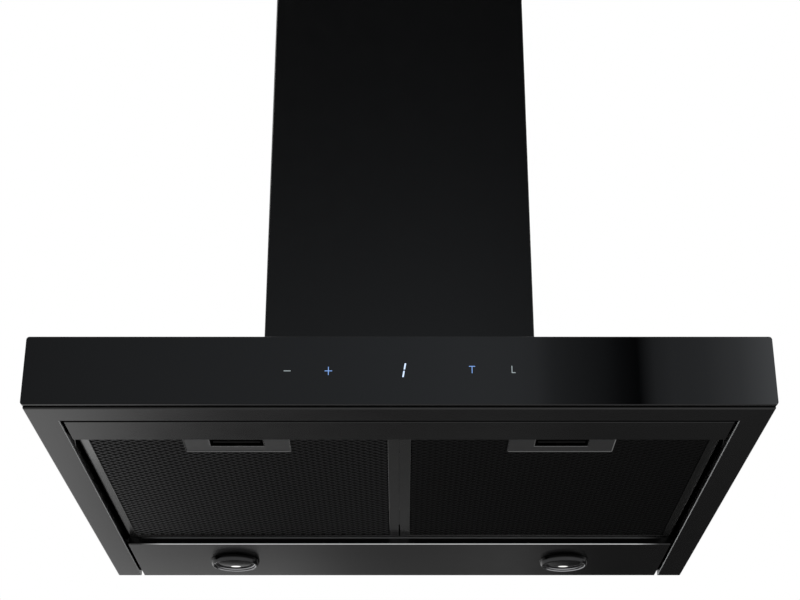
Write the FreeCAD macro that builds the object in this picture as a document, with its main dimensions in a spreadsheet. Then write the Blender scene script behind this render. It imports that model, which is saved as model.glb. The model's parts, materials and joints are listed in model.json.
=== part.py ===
"""Chimney range hood.

A box canopy with a glass front, two grease filters, two lamps, a blower and a telescopic cover.
Millimetres.  X runs to the right, Y towards the wall (the wall is Y = 0) and Z up.
Z = 0 is the canopy's underside.
"""
import FreeCAD, Part
import os
import re
import Sketcher

V = FreeCAD.Vector
Turn = FreeCAD.Rotation

SIZES = {
    # canopy: one folded sheet with a rim and an upturned lip round the opening
    "hood_width": 598,
    "hood_depth": 500,
    "canopy_height": 60,
    "sheet": 1,
    "bend_radius": 1.5,
    "rim_side": 24.5,
    "rim_front": 27.6,
    "lip_rise": 16,
    "notch_rise": 6,
    "wall_screw_spacing": 400,
    "wall_screw_rise": 30,
    "wall_screw_radius": 2.5,
    # glass front
    "glass_thick": 4,
    "tape_thick": 1,
    "tape_width": 9,
    "tape_inset": 4,
    "glass_reveal": 1,
    "glass_lift": 1.7,
    "glass_corner": 2.5,
    # touch keys behind the glass
    "key_rise": 29.5,
    "key_inner_offset": 57,
    "key_outer_offset": 89,
    "guide_radius": 5,
    "guide_bore": 3.5,
    "window_width": 220,
    "window_rise": 30,
    "digit_width": 18,
    "digit_rise": 19,
    "board_gap": 5,
    "board_thick": 1.6,
    "holder_wall": 1.5,
    "holder_depth": 11,
    # rail in front of the filters and panel behind them
    "rail_gap": 2.9,
    "rail_depth": 41.4,
    "rail_rise": 14,
    "rail_fold": 6,
    "panel_gap": 3.2,
    "ear_step": 9,
    "ear_width": 24,
    "ear_inset": 12,
    "rivet_radius": 1.6,
    "rivet_head": 3,
    "rivet_head_thick": 1.2,
    # grease filters
    "filter_gap": 4.7,
    "filter_side_gap": 1.75,
    "filter_length": 305.5,
    "filter_thick": 9,
    "filter_lift": 8,
    "filter_parting": 1.5,
    "filter_overlap": 3.8,
    "filter_bar": 10,
    "filter_seat": 0.3,
    "mesh_inset": 1,
    "mesh_thick": 2,
    # handle, latch and catch of each filter
    "handle_outboard": 1.35,
    "handle_width": 90.5,
    "handle_depth": 45.6,
    "handle_corner": 6,
    "plate_thick": 1,
    "slot_width": 45,
    "slot_depth": 22.4,
    "slot_inset": 9.4,
    "cup_wall": 2,
    "cup_roof": 1,
    "tongue_width": 20,
    "tongue_thick": 2,
    "tongue_lift": 4,
    "tongue_gap": 1.1,
    "tongue_play": 0.3,
    "pull_width": 40,
    "pull_thick": 3,
    "pull_inset": 11.6,
    "stem_width": 6,
    "spring_radius": 2.4,
    "spring_wire": 0.35,
    "spring_turns": 5,
    "chamber_width": 8,
    "chamber_end": 1.2,
    "catch_width": 30,
    "catch_sheet": 0.4,
    "catch_reach": 3.1,
    # lamps
    "lamp_inset": 101.3,
    "bezel_radius": 25,
    "bezel_drop": 6,
    "neck_radius": 23.3,
    "neck_wall": 1.5,
    "neck_rise": 9,
    "lens_radius": 17.3,
    "lens_rise": 2.6,
    "lamp_body_rise": 24,
    "lamp_play": 0.2,
    "bezel_land": 3.5,
    "bezel_round": 1,
    "lens_inset": 0.8,
    "lens_crown": 1,
    "core_inset": 2,
    "clip_width": 8,
    "clip_reach": 14,
    "clip_rise": 5,
    "clip_foot": 3,
    "clip_end": 2,
    # control box over the rail
    "box_key_gap": 13.5,
    "box_width": 130,
    "box_depth": 56,
    "box_rise": 35,
    "box_front_gap": 8,
    "box_wall": 2,
    "post_radius": 3,
    "capacitor_radius": 11,
    "capacitor_length": 40,
    "transformer_width": 32,
    "transformer_depth": 26,
    "transformer_rise": 20,
    # blower case on the canopy
    "case_width": 240,
    "case_cover_gap": 10,
    "case_back": 8,
    "case_rise": 250,
    "case_flange": 6,
    "case_screw_radius": 1.8,
    "screw_head": 3.2,
    "case_screw_head": 2.8,
    "screw_head_rise": 2,
    "intake_width": 190,
    "intake_setback": 23,
    "intake_back": 38,
    # scroll, drawn round the shaft with four centres
    "shaft_setback": 85,
    "shaft_rise": 185,
    "scroll_radius": 70,
    "scroll_step": 9,
    "scroll_half": 57,
    "scroll_wall": 2,
    "inlet_radius": 52,
    "inlet_flange": 60,
    "inlet_lip": 50,
    "inlet_flange_thick": 1.5,
    "inlet_flare": 3,
    # wheel, motor and its three-armed bracket
    "wheel_radius": 58,
    "wheel_half": 50,
    "wheel_ring": 4,
    "wheel_disc": 3,
    "blade_depth": 8,
    "blade_thick": 1,
    "blade_sweep": 4.8,
    "blade_count": 36,
    "boss_radius": 9,
    "boss_reach": 12,
    "shaft_radius": 4,
    "shaft_play": 0.05,
    "shaft_end": 1,
    "motor_radius": 40,
    "motor_round": 4,
    "motor_start": 18,
    "motor_length": 60,
    "bearing_radius": 14,
    "bearing_length": 6,
    "bracket_thick": 2,
    "bracket_ring": 24,
    "arm_width": 12,
    "bush_ring": 66,
    "bush_radius": 5,
    # outlet collar with its two flaps
    "collar_radius": 75,
    "collar_wall": 1.5,
    "collar_rise": 50,
    "collar_flange": 85,
    "pin_rise": 33,
    "pin_radius": 2,
    "pin_play": 0.05,
    "ledge_width": 4.5,
    "flap_gap": 1,
    "flap_thick": 1,
    "flap_back": 4,
    "knuckle_radius": 3.5,
    "knuckle_length": 16,
    "knuckle_inner": 12,
    "knuckle_outer": 34,
    # cable gland on the blower case
    "gland_offset": 95,
    "gland_back": 40,
    "gland_radius": 8,
    "gland_flange": 11,
    "gland_bore": 4,
    "gland_rise": 8,
    "gland_depth": 10,
    # hanging plate
    "plate_width": 220,
    "plate_rise": 240,
    "plate_sheet": 2,
    "hook_spacing": 150,
    "hook_rise": 270,
    "hook_radius": 4,
    # chimney covers
    "chimney_width": 260,
    "chimney_depth": 255,
    "lower_rise": 500,
    "return_width": 14,
    "slide_gap": 0.6,
    "upper_start": 200,
    "upper_rise": 480,
    "louvre_length": 130,
    "louvre_rise": 3.5,
    "louvre_pitch": 10,
    "louvre_count": 6,
    "louvre_top": 20,
    "cover_screw_rise": 8,
    "lug_setback": 93.1,
    "lug_width": 14,
    "lug_rise": 16,
    "bracket_width": 200,
    "bracket_rise": 30,
    "bracket_top": 10,
    "bracket_arm": 40,
    "bracket_screw_back": 25,
    "bracket_hole_radius": 3,
}

doc = FreeCAD.newDocument("chimney_range_hood")
sheet = doc.addObject("Spreadsheet::Sheet", "Sizes")
for row, (name, size) in enumerate(SIZES.items(), start=1):
    sheet.set(f"A{row}", name)
    sheet.set(f"B{row}", str(size))
    sheet.setAlias(f"B{row}", name)
doc.recompute()

subparts = []


# ---------------------------------------------------------------- ways of making a piece

def bound(text):
    """Spell a formula for FreeCAD: each size's name becomes the name of its cell."""
    return re.sub(r"[a-z_]+", lambda word: f"Sizes.{word[0]}" if word[0] in SIZES else word[0], text)


def value(text):
    """What a formula of sizes comes to now."""
    return float(sheet.evalExpression(bound(text)))


def subpart(piece, label):
    """Keep a finished piece under the name of its file."""
    piece.Label = label
    subparts.append(piece)
    return piece


def place(piece, x, y, z, turn=None):
    """Put a piece at three formulas, turned or straight."""
    piece.Placement = FreeCAD.Placement(V(0, 0, 0), turn or Turn())
    for axis, text in zip("xyz", (x, y, z)):
        piece.setExpression(f"Placement.Base.{axis}", bound(text))
    return piece


def box(name, x, y, z):
    """A block between two formulas along each axis."""
    block = doc.addObject("Part::Box", name)
    for side, (low, high) in zip(("Length", "Width", "Height"), (x, y, z)):
        block.setExpression(side, bound(f"({high}) - ({low})"))
    return place(block, x[0], y[0], z[0])


ALONG = {"X": Turn(V(0, 1, 0), 90), "Y": Turn(V(1, 0, 0), -90), "Z": Turn()}


def rod(name, along, radius, start, length):
    """A round bar from a starting point, along one axis."""
    bar = doc.addObject("Part::Cylinder", name)
    bar.setExpression("Radius", bound(radius))
    bar.setExpression("Height", bound(length))
    return place(bar, *start, ALONG[along])


def fused(name, pieces):
    """Several shapes as one."""
    whole = doc.addObject("Part::MultiFuse", name)
    whole.Shapes = pieces
    whole.Refine = True
    return whole


def cut(name, base, tools):
    """A shape less others."""
    rest = doc.addObject("Part::Cut", name)
    rest.Base = base
    rest.Tool = tools[0] if len(tools) == 1 else fused(f"{name}_tools", tools)
    return rest


def group(name, pieces):
    """Like pieces that share one file, each a solid of its own."""
    several = doc.addObject("Part::Compound", name)
    several.Links = pieces
    return several


def sketch_on(body, name, role, height="0"):
    """An empty sketch on one of the body's own planes, or that far above it."""
    plane = next(part for part in body.Origin.OriginFeatures if part.Role == role)
    sketch = body.newObject("Sketcher::SketchObject", name)
    sketch.AttachmentSupport = [(plane, "")]
    sketch.MapMode = "FlatFace"
    sketch.setExpression("AttachmentOffset.Base.z", bound(height))
    return sketch


def held(sketch, kind, *ends, text):
    """One dimension of a sketch, bound to a formula."""
    number = sketch.addConstraint(Sketcher.Constraint(kind, *ends, value(text)))
    sketch.renameConstraint(number, f"size_{number}")
    sketch.setExpression(f"Constraints.size_{number}", bound(text))


def outline(sketch, corners):
    """A closed outline through corners, each two formulas."""
    points = [V(value(across), value(up), 0) for across, up in corners]
    for point, following in zip(points, points[1:] + points[:1]):
        sketch.addGeometry(Part.LineSegment(point, following))
    for edge, (across, up) in enumerate(corners):
        sketch.addConstraint(Sketcher.Constraint("Coincident", edge, 2, (edge + 1) % len(corners), 1))
        held(sketch, "DistanceX", -1, 1, edge, 1, text=across)
        held(sketch, "DistanceY", -1, 1, edge, 1, text=up)
    return sketch


def circle(sketch, across, up, radius):
    """A circle in a sketch, its middle and radius three formulas."""
    edge = sketch.addGeometry(Part.Circle(V(value(across), value(up), 0), V(0, 0, 1), value(radius)))
    held(sketch, "DistanceX", -1, 1, edge, 3, text=across)
    held(sketch, "DistanceY", -1, 1, edge, 3, text=up)
    held(sketch, "Radius", edge, text=radius)
    return sketch


def rectangle(across, up):
    """The corners of a rectangle between two formulas each way."""
    return [(across[0], up[0]), (across[1], up[0]), (across[1], up[1]), (across[0], up[1])]


def feature(body, kind, name, sketch, length, reverse=False):
    """A pad or a pocket of a sketch."""
    made = body.newObject(f"PartDesign::{kind}", name)
    made.Profile = sketch
    made.setExpression("Length", bound(length))
    made.Reversed = reverse
    return made


def turned(name, corners):
    """A body turned round its own Z axis from an outline of radius and height."""
    body = doc.addObject("PartDesign::Body", name)
    sketch = outline(sketch_on(body, f"{name}_profile", "XZ_Plane"), corners)
    turning = body.newObject("PartDesign::Revolution", f"{name}_turn")
    turning.Profile = sketch
    turning.ReferenceAxis = (sketch, ["V_Axis"])
    turning.Angle = 360
    return body


def rounded(name, base, along, radius, keep):
    """Round the edges that run along one axis and pass a test of their middle."""
    doc.recompute()
    way = {"X": V(1, 0, 0), "Y": V(0, 1, 0), "Z": V(0, 0, 1)}[along]
    chosen = []
    for number, edge in enumerate(base.Shape.Edges, start=1):
        straight = isinstance(edge.Curve, Part.Line) and abs(abs(edge.Curve.Direction.dot(way)) - 1) < 1e-6
        if straight and keep(edge.CenterOfMass):
            chosen.append((number, value(radius), value(radius)))
    soft = doc.addObject("Part::Fillet", name)
    soft.Base = base
    soft.Edges = chosen
    return soft


SIDES = {"left": "-1", "right": "1"}

# ---------------------------------------------------------------- places that several pieces share

glass_back = "(glass_thick - hood_depth)"
front = f"({glass_back} + tape_thick)"
body_half = "(hood_width / 2 - glass_reveal)"
opening_half = f"({body_half} - rim_side)"
opening_front = f"({front} + rim_front)"
rail_front = f"({opening_front} + rail_gap)"
rail_rear = f"({rail_front} + rail_depth)"
filter_front = f"({rail_rear} + filter_gap)"
filter_rear = f"({filter_front} + filter_length)"
panel_front = f"({filter_rear} - filter_overlap)"
panel_half = f"({opening_half} - panel_gap)"
filter_width = f"({opening_half} - filter_side_gap - filter_parting / 2)"
lamp_offset = f"({panel_half} - lamp_inset)"
ceiling = "(canopy_height - sheet)"
lamp_back = f"(({panel_front} - sheet) / 2)"
box_left = "(window_width / 2 + holder_wall + box_key_gap)"
case_top = "(canopy_height + case_rise)"
case_half = "(case_width / 2)"
case_front = "(case_cover_gap - chimney_depth)"
lug_middle = f"({case_front} + lug_setback)"
shaft_middle = f"({case_front} + shaft_setback)"
collar_middle = f"({shaft_middle} + scroll_radius / 2 + scroll_step)"


def wide(half):
    """From left to right, a half each way."""
    return f"-({half})", half


# ---------------------------------------------------------------- canopy shell

def canopy_shell():
    """The folded and welded sheet: top, walls, rim and lip, with its window, intake and screw holes."""
    skin = box("shell_skin", wide(body_half), (front, "0"), ("0", "canopy_height"))
    bent = rounded("shell_bends", skin, "Y", "bend_radius", lambda middle: middle.z < value("sheet"))
    hollow_deep = (f"{front} + sheet", "-sheet")
    hollow = box("shell_hollow", wide(f"{body_half} - sheet"), hollow_deep, ("sheet", ceiling))
    lip_deep = (f"{opening_front} - sheet", "-sheet")
    lip = box("shell_lip", wide(f"{opening_half} + sheet"), lip_deep, ("0", "lip_rise"))
    walls = fused("shell_walls", [cut("shell_tray", bent, [hollow]), lip])
    opening = box("shell_opening", wide(opening_half), (opening_front, "-sheet"), ("0", ceiling))
    window = box(
        "shell_window",
        wide("window_width / 2"),
        (front, f"{front} + sheet"),
        ("key_rise - window_rise / 2", "key_rise + window_rise / 2"),
    )
    intake_deep = (f"{case_front} + intake_setback", "-intake_back")
    intake = box("shell_intake", wide("intake_width / 2"), intake_deep, (ceiling, "canopy_height"))
    tools = [opening, window, intake]
    for side, sign in SIDES.items():
        start = (f"{sign} * wall_screw_spacing / 2", "-sheet", "wall_screw_rise")
        tools.append(rod(f"shell_wall_hole_{side}", "Y", "wall_screw_radius", start, "sheet"))
        edges = sorted((f"{sign} * {panel_half}", f"{sign} * {opening_half}"), key=value)
        tools.append(box(f"shell_notch_{side}", edges, ("-sheet", "0"), ("0", "notch_rise")))
    tools += ear_rivets("shell_rivet_hole", head=False)
    tools += case_screws("shell_screw_hole", head=False)
    subpart(cut("canopy_shell", walls, tools), "canopy_shell")


# ---------------------------------------------------------------- rail, lamp panel, their ears and rivets

ears = {"rail": f"({rail_front} + ear_inset)", "panel": f"({panel_front} + ear_inset)"}


def ear(name, sign, low):
    """A bent tab that reaches from a panel's end to the lip of the canopy."""
    def span(start, end):
        return sorted((f"{sign} * ({start})", f"{sign} * ({end})"), key=value)
    along = (low, f"{low} + ear_width")
    step_top = "ear_step + sheet"
    web = box(f"{name}_web", span(f"{panel_half} - sheet", panel_half), along, ("0", step_top))
    step = box(f"{name}_step", span(f"{panel_half} - sheet", opening_half), along, ("ear_step", step_top))
    tab = box(f"{name}_tab", span(f"{opening_half} - sheet", opening_half), along, ("ear_step", "lip_rise"))
    return [web, step, tab]


def ear_rivets(name, head=True):
    """The rivets that hold the ears to the lip, or only their holes."""
    made = []
    for panel, low in ears.items():
        for side, sign in SIDES.items():
            level = (f"{low} + ear_width / 2", "(ear_step + sheet + lip_rise) / 2")
            tag = f"{panel}_{side}"
            start = (f"{opening_half} - sheet" if sign == "1" else f"-({opening_half}) - sheet", *level)
            shank = rod(f"{name}_{tag}", "X", "rivet_radius", start, "2 * sheet")
            if head:
                right_end = f"{opening_half} - sheet - rivet_head_thick"
                inner = right_end if sign == "1" else f"-({opening_half} - sheet)"
                cap = rod(f"{name}_head_{tag}", "X", "rivet_head", (inner, *level), "rivet_head_thick")
                shank = fused(f"{name}_whole_{tag}", [shank, cap])
            made.append(shank)
    return made


def channel(name, corners, ear_start, holes):
    """A folded strip across the opening, with an ear at each end."""
    body = doc.addObject("PartDesign::Body", f"{name}_strip")
    sketch = outline(sketch_on(body, f"{name}_fold", "YZ_Plane", f"-({panel_half})"), corners)
    feature(body, "Pad", f"{name}_width", sketch, f"2 * {panel_half}")
    pieces = [body]
    for side, sign in SIDES.items():
        pieces += ear(f"{name}_ear_{side}", sign, ear_start)
    subpart(cut(name, fused(f"{name}_welded", pieces), holes), name)


def front_rail():
    """The channel that hides the wiring in front of the filters."""
    inner_front = f"{rail_front} + sheet"
    inner_rear = f"{rail_rear} - sheet"
    corners = [
        (rail_front, "0"),
        (rail_rear, "0"),
        (rail_rear, "rail_fold"),
        (inner_rear, "rail_fold"),
        (inner_rear, "sheet"),
        (inner_front, "sheet"),
        (inner_front, "rail_rise"),
        (rail_front, "rail_rise"),
    ]
    channel("front_rail", corners, ears["rail"], ear_rivets("rail_rivet_hole", head=False))


def lamp_panel():
    """The rear panel: its front fold carries the filters, and two holes take the lamps."""
    seat = "filter_lift - filter_seat"
    corners = [
        (panel_front, "0"),
        ("-sheet", "0"),
        ("-sheet", "rail_rise"),
        ("-2 * sheet", "rail_rise"),
        ("-2 * sheet", "sheet"),
        (f"{panel_front} + sheet", "sheet"),
        (f"{panel_front} + sheet", seat),
        (panel_front, seat),
    ]
    holes = ear_rivets("panel_rivet_hole", head=False)
    for side, sign in SIDES.items():
        start = (f"{sign} * {lamp_offset}", lamp_back, "0")
        holes.append(rod(f"lamp_hole_{side}", "Z", "neck_radius + lamp_play", start, "sheet"))
    channel("lamp_panel", corners, ears["panel"], holes)


# ---------------------------------------------------------------- glass front and what lies behind it

def glass_panel():
    """The tempered glass, with its four corners rounded."""
    body = doc.addObject("PartDesign::Body", "glass_panel")
    sketch = sketch_on(body, "glass_outline", "XZ_Plane", "hood_depth")
    outline(sketch, rectangle(wide("hood_width / 2"), ("glass_lift", "canopy_height")))
    pane = feature(body, "Pad", "glass_pane", sketch, "glass_thick", reverse=True)
    doc.recompute()
    corners = body.newObject("PartDesign::Fillet", "glass_corners")
    through = [
        f"Edge{number}"
        for number, edge in enumerate(pane.Shape.Edges, start=1)
        if abs(edge.tangentAt(edge.FirstParameter).y) > 0.9
    ]
    corners.Base = (pane, through)
    corners.setExpression("Radius", bound("glass_corner"))
    subpart(body, "glass_panel")


def glass_tape():
    """Two strips of foam tape between the glass and the steel."""
    across = wide(f"{body_half} - tape_inset")
    deep = (glass_back, front)
    low = box("tape_low", across, deep, ("tape_inset", "tape_inset + tape_width"))
    high_edges = (f"{ceiling} - tape_inset - tape_width", f"{ceiling} - tape_inset")
    high = box("tape_high", across, deep, high_edges)
    subpart(group("glass_tape", [low, high]), "glass_tape")


def touch_keys():
    """Holder, board, one light guide for each key and the digit's display."""
    board_front = f"{front} + board_gap"
    half = "window_width / 2"
    low = "key_rise - window_rise / 2"
    high = "key_rise + window_rise / 2"
    back = f"{front} + sheet + holder_depth"
    tray = box(
        "holder_tray",
        wide(f"{half} + holder_wall"),
        (f"{front} + sheet", back),
        (f"{low} - holder_wall", f"{high} + holder_wall"),
    )
    inside = box("holder_inside", wide(half), (f"{front} + sheet", f"{back} - holder_wall"), (low, high))
    subpart(cut("touch_board_holder", tray, [inside]), "touch_board_holder")
    board = box("touch_board", wide(half), (board_front, f"{board_front} + board_thick"), (low, high))
    subpart(board, "touch_board")
    guides = []
    key_places = ("-key_outer_offset", "-key_inner_offset", "key_inner_offset", "key_outer_offset")
    for number, place_across in enumerate(key_places, start=1):
        start = (place_across, glass_back, "key_rise")
        length = f"({board_front}) - {glass_back}"
        sleeve = rod(f"guide_sleeve_{number}", "Y", "guide_radius", start, length)
        bore = rod(f"guide_bore_{number}", "Y", "guide_bore", start, length)
        guides.append(cut(f"key_light_guide_{number}", sleeve, [bore]))
    subpart(group("key_light_guides", guides), "key_light_guides")
    level = ("key_rise - digit_rise / 2", "key_rise + digit_rise / 2")
    digit = box("digit_display", wide("digit_width / 2"), (glass_back, board_front), level)
    subpart(digit, "digit_display")


# ---------------------------------------------------------------- grease filters

def grease_filter(side, sign):
    """Frame, mesh pad and pull handle, which tilt together."""
    middle = f"({sign} * (filter_parting + {filter_width}) / 2)"
    handle = f"({middle} + {sign} * handle_outboard)"
    low = "filter_lift"
    high = "filter_lift + filter_thick"
    tongue = ("filter_lift + tongue_lift", "filter_lift + tongue_lift + tongue_thick")
    inner_front = f"{filter_front} + filter_bar"

    def about(centre, half):
        return f"{centre} - ({half})", f"{centre} + {half}"

    # handle: a plate with a finger cup behind the front bar and a chamber for the latch spring
    body = doc.addObject("PartDesign::Body", f"handle_plate_{side}")
    sketch = sketch_on(body, f"handle_outline_{side}", "XY_Plane", f"{low} - plate_thick")
    handle_rear = f"{filter_front} + handle_depth"
    outline(sketch, rectangle(about(handle, "handle_width / 2"), (filter_front, handle_rear)))
    plate = feature(body, "Pad", f"handle_sheet_{side}", sketch, "plate_thick")
    doc.recompute()
    plate_middle = value(f"{filter_front} + handle_depth / 2")
    upright = [
        f"Edge{number}"
        for number, edge in enumerate(plate.Shape.Edges, start=1)
        if abs(edge.tangentAt(edge.FirstParameter).z) > 0.9 and edge.CenterOfMass.y > plate_middle
    ]
    corners = body.newObject("PartDesign::Fillet", f"handle_corners_{side}")
    corners.Base = (plate, upright)
    corners.setExpression("Radius", bound("handle_corner"))
    slot_front = f"{filter_front} + slot_inset"
    slot_rear = f"{slot_front} + slot_depth"
    roof = f"{high} - cup_roof"
    cup_across = about(handle, "slot_width / 2 + cup_wall")
    cup = box(f"cup_{side}", cup_across, (inner_front, handle_rear), (low, high))
    slot_level = (f"{low} - plate_thick", roof)
    slot = box(f"slot_{side}", about(handle, "slot_width / 2"), (slot_front, slot_rear), slot_level)
    stem_way = box(
        f"stem_way_{side}",
        about(handle, "stem_width / 2 + tongue_play"),
        (slot_rear, f"{slot_rear} + cup_wall"),
        (f"{tongue[0]} - tongue_play", f"{tongue[1]} + tongue_play"),
    )
    chamber = box(
        f"chamber_{side}",
        about(handle, "chamber_width / 2"),
        (f"{slot_rear} + cup_wall", f"{handle_rear} - chamber_end"),
        (f"{low} + plate_thick", roof),
    )
    solid = fused(f"handle_solid_{side}", [body, cup])
    subpart(cut(f"handle_{side}", solid, [slot, stem_way, chamber]), f"filter_handle_{side}")

    # frame: four bars, with the latch's slot through the front one
    skin_across = about(middle, f"{filter_width} / 2")
    skin = box(f"frame_skin_{side}", skin_across, (filter_front, filter_rear), (low, high))
    window_across = about(middle, f"{filter_width} / 2 - filter_bar")
    window_along = (inner_front, f"{filter_rear} - filter_bar")
    window = box(f"frame_window_{side}", window_across, window_along, (low, high))
    latch_way = box(
        f"latch_way_{side}",
        about(handle, "tongue_width / 2 + tongue_play"),
        (filter_front, inner_front),
        (f"{tongue[0]} - tongue_play", f"{tongue[1]} + tongue_play"),
    )
    subpart(cut(f"frame_{side}", skin, [window, latch_way]), f"filter_frame_{side}")

    # mesh pad: clamped in the frame, cut out round the handle's cup
    pad = box(
        f"pad_{side}",
        window_across,
        window_along,
        (f"{low} + mesh_inset", f"{low} + mesh_inset + mesh_thick"),
    )
    room = box(f"pad_room_{side}", cup_across, (inner_front, handle_rear), (low, high))
    subpart(cut(f"mesh_{side}", pad, [room]), f"filter_mesh_{side}")

    # latch: tongue, finger pull and stem with a head that presses on the spring
    pull_front = f"{inner_front} + pull_inset"
    head_front = f"{slot_rear} + cup_wall + tongue_play"
    tip = f"{rail_rear} + tongue_gap"
    latch_tongue = box(f"tongue_{side}", about(handle, "tongue_width / 2"), (tip, pull_front), tongue)
    pull = box(
        f"pull_{side}",
        about(handle, "pull_width / 2"),
        (pull_front, f"{pull_front} + pull_thick"),
        (low, tongue[1]),
    )
    stem_along = (pull_front, f"{head_front} + sheet")
    stem = box(f"stem_{side}", about(handle, "stem_width / 2"), stem_along, tongue)
    head = box(
        f"stem_head_{side}",
        about(handle, "chamber_width / 2 - tongue_play"),
        (head_front, f"{head_front} + sheet"),
        (f"{low} + plate_thick + tongue_play", f"{roof} - tongue_play"),
    )
    subpart(fused(f"latch_{side}", [latch_tongue, pull, stem, head]), f"filter_latch_{side}")

    # latch spring, from the stem's head to the end of its chamber
    spring_start = f"({head_front} + sheet + spring_wire)"
    spring_length = f"({handle_rear} - chamber_end - spring_wire - {spring_start})"
    spring_level = f"({tongue[0]} + tongue_thick / 2)"
    coil = doc.addObject("Part::Helix", f"spring_line_{side}")
    coil.setExpression("Radius", bound("spring_radius"))
    coil.setExpression("Height", bound(spring_length))
    coil.setExpression("Pitch", bound(f"{spring_length} / spring_turns"))
    place(coil, handle, spring_start, spring_level, ALONG["Y"])
    wire = doc.addObject("Part::Circle", f"spring_wire_{side}")
    wire.setExpression("Radius", bound("spring_wire"))
    place(wire, f"{handle} + spring_radius", spring_start, spring_level)
    spring = doc.addObject("Part::Sweep", f"spring_{side}")
    spring.Sections = [wire]
    spring.Spine = (coil, ["Edge1"])
    spring.Solid = True
    spring.Frenet = True
    subpart(spring, f"latch_spring_{side}")

    # catch: a spring-steel leaf on the rail's fold, whose lip carries the tongue
    under = f"filter_lift + tongue_lift - tongue_play"
    leaf = doc.addObject("PartDesign::Body", f"catch_{side}")
    leaf_profile = [
        (rail_rear, "2 * sheet"),
        (f"{rail_rear} + catch_sheet", "2 * sheet"),
        (f"{rail_rear} + catch_sheet", f"{under} - catch_sheet"),
        (f"{rail_rear} + catch_reach", f"{under} - catch_sheet"),
        (f"{rail_rear} + catch_reach", under),
        (rail_rear, under),
    ]
    fold = sketch_on(leaf, f"catch_fold_{side}", "YZ_Plane", f"{handle} - catch_width / 2")
    outline(fold, leaf_profile)
    feature(leaf, "Pad", f"catch_leaf_{side}", fold, "catch_width")
    subpart(leaf, f"filter_catch_{side}")


# ---------------------------------------------------------------- lamps

def lamp(side, sign):
    """Bezel, lens and body of one lamp.  Its middle is the origin of each turned outline."""
    centre = (f"{sign} * {lamp_offset}", lamp_back, "0")
    neck_inner = "neck_radius - neck_wall"
    lens_room = "lens_radius + lamp_play"
    bezel = turned(f"bezel_{side}", [
        (lens_room, "-bezel_drop + bezel_round"),
        (f"{lens_room} + bezel_land", "-bezel_drop"),
        ("bezel_radius - bezel_round", "-bezel_drop / 3"),
        ("bezel_radius", "-bezel_drop / 5"),
        ("bezel_radius", "0"),
        ("neck_radius", "0"),
        ("neck_radius", "neck_rise"),
        (neck_inner, "neck_rise"),
        (neck_inner, "sheet"),
        (lens_room, "-lens_rise"),
    ])
    subpart(place(bezel, *centre), f"lamp_bezel_{side}")
    lens = turned(f"lens_{side}", [
        ("0", "-bezel_drop + lens_inset"),
        ("lens_radius * 0.8", "-bezel_drop + lens_inset + lens_crown * 0.4"),
        ("lens_radius", "-bezel_drop + lens_inset + lens_crown"),
        ("lens_radius", "-lens_rise"),
        ("0", "-lens_rise"),
    ])
    subpart(place(lens, *centre), f"lamp_lens_{side}")
    heatsink = turned(f"lamp_core_{side}", [
        ("0", "-lens_rise"),
        ("lens_radius - core_inset", "-lens_rise"),
        ("lens_radius - core_inset", "sheet"),
        (f"{neck_inner} - lamp_play", "2 * sheet"),
        (f"{neck_inner} - lamp_play", "lamp_body_rise"),
        ("0", "lamp_body_rise"),
    ])
    subpart(place(heatsink, *centre), f"lamp_body_{side}")


def lamp_clips():
    """Two spring strips on each lamp body, which press the bezel up against the panel."""
    root = "(neck_radius - neck_wall - lamp_play)"
    corners = [
        (root, "lamp_body_rise - clip_end"),
        (root, "neck_rise + clip_rise"),
        (f"{root} + clip_reach - clip_foot", "sheet"),
        (f"{root} + clip_reach", "sheet"),
        (f"{root} + clip_reach", "2 * sheet"),
        (f"{root} + clip_reach - clip_foot + sheet", "2 * sheet"),
        (f"{root} + sheet", "neck_rise + clip_rise + sheet"),
        (f"{root} + sheet", "lamp_body_rise - clip_end"),
    ]
    clips = []
    for side, sign in SIDES.items():
        for way, flip in (("out", "1"), ("in", "-1")):
            body = doc.addObject("PartDesign::Body", f"clip_{side}_{way}")
            sketch = sketch_on(body, f"clip_fold_{side}_{way}", "XZ_Plane", "-clip_width / 2")
            outline(sketch, [(f"{flip} * ({across})", up) for across, up in corners])
            feature(body, "Pad", f"clip_strip_{side}_{way}", sketch, "clip_width")
            clips.append(place(body, f"{sign} * {lamp_offset}", lamp_back, "0"))
    subpart(group("lamp_clips", clips), "lamp_clips")


# ---------------------------------------------------------------- control box

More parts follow.
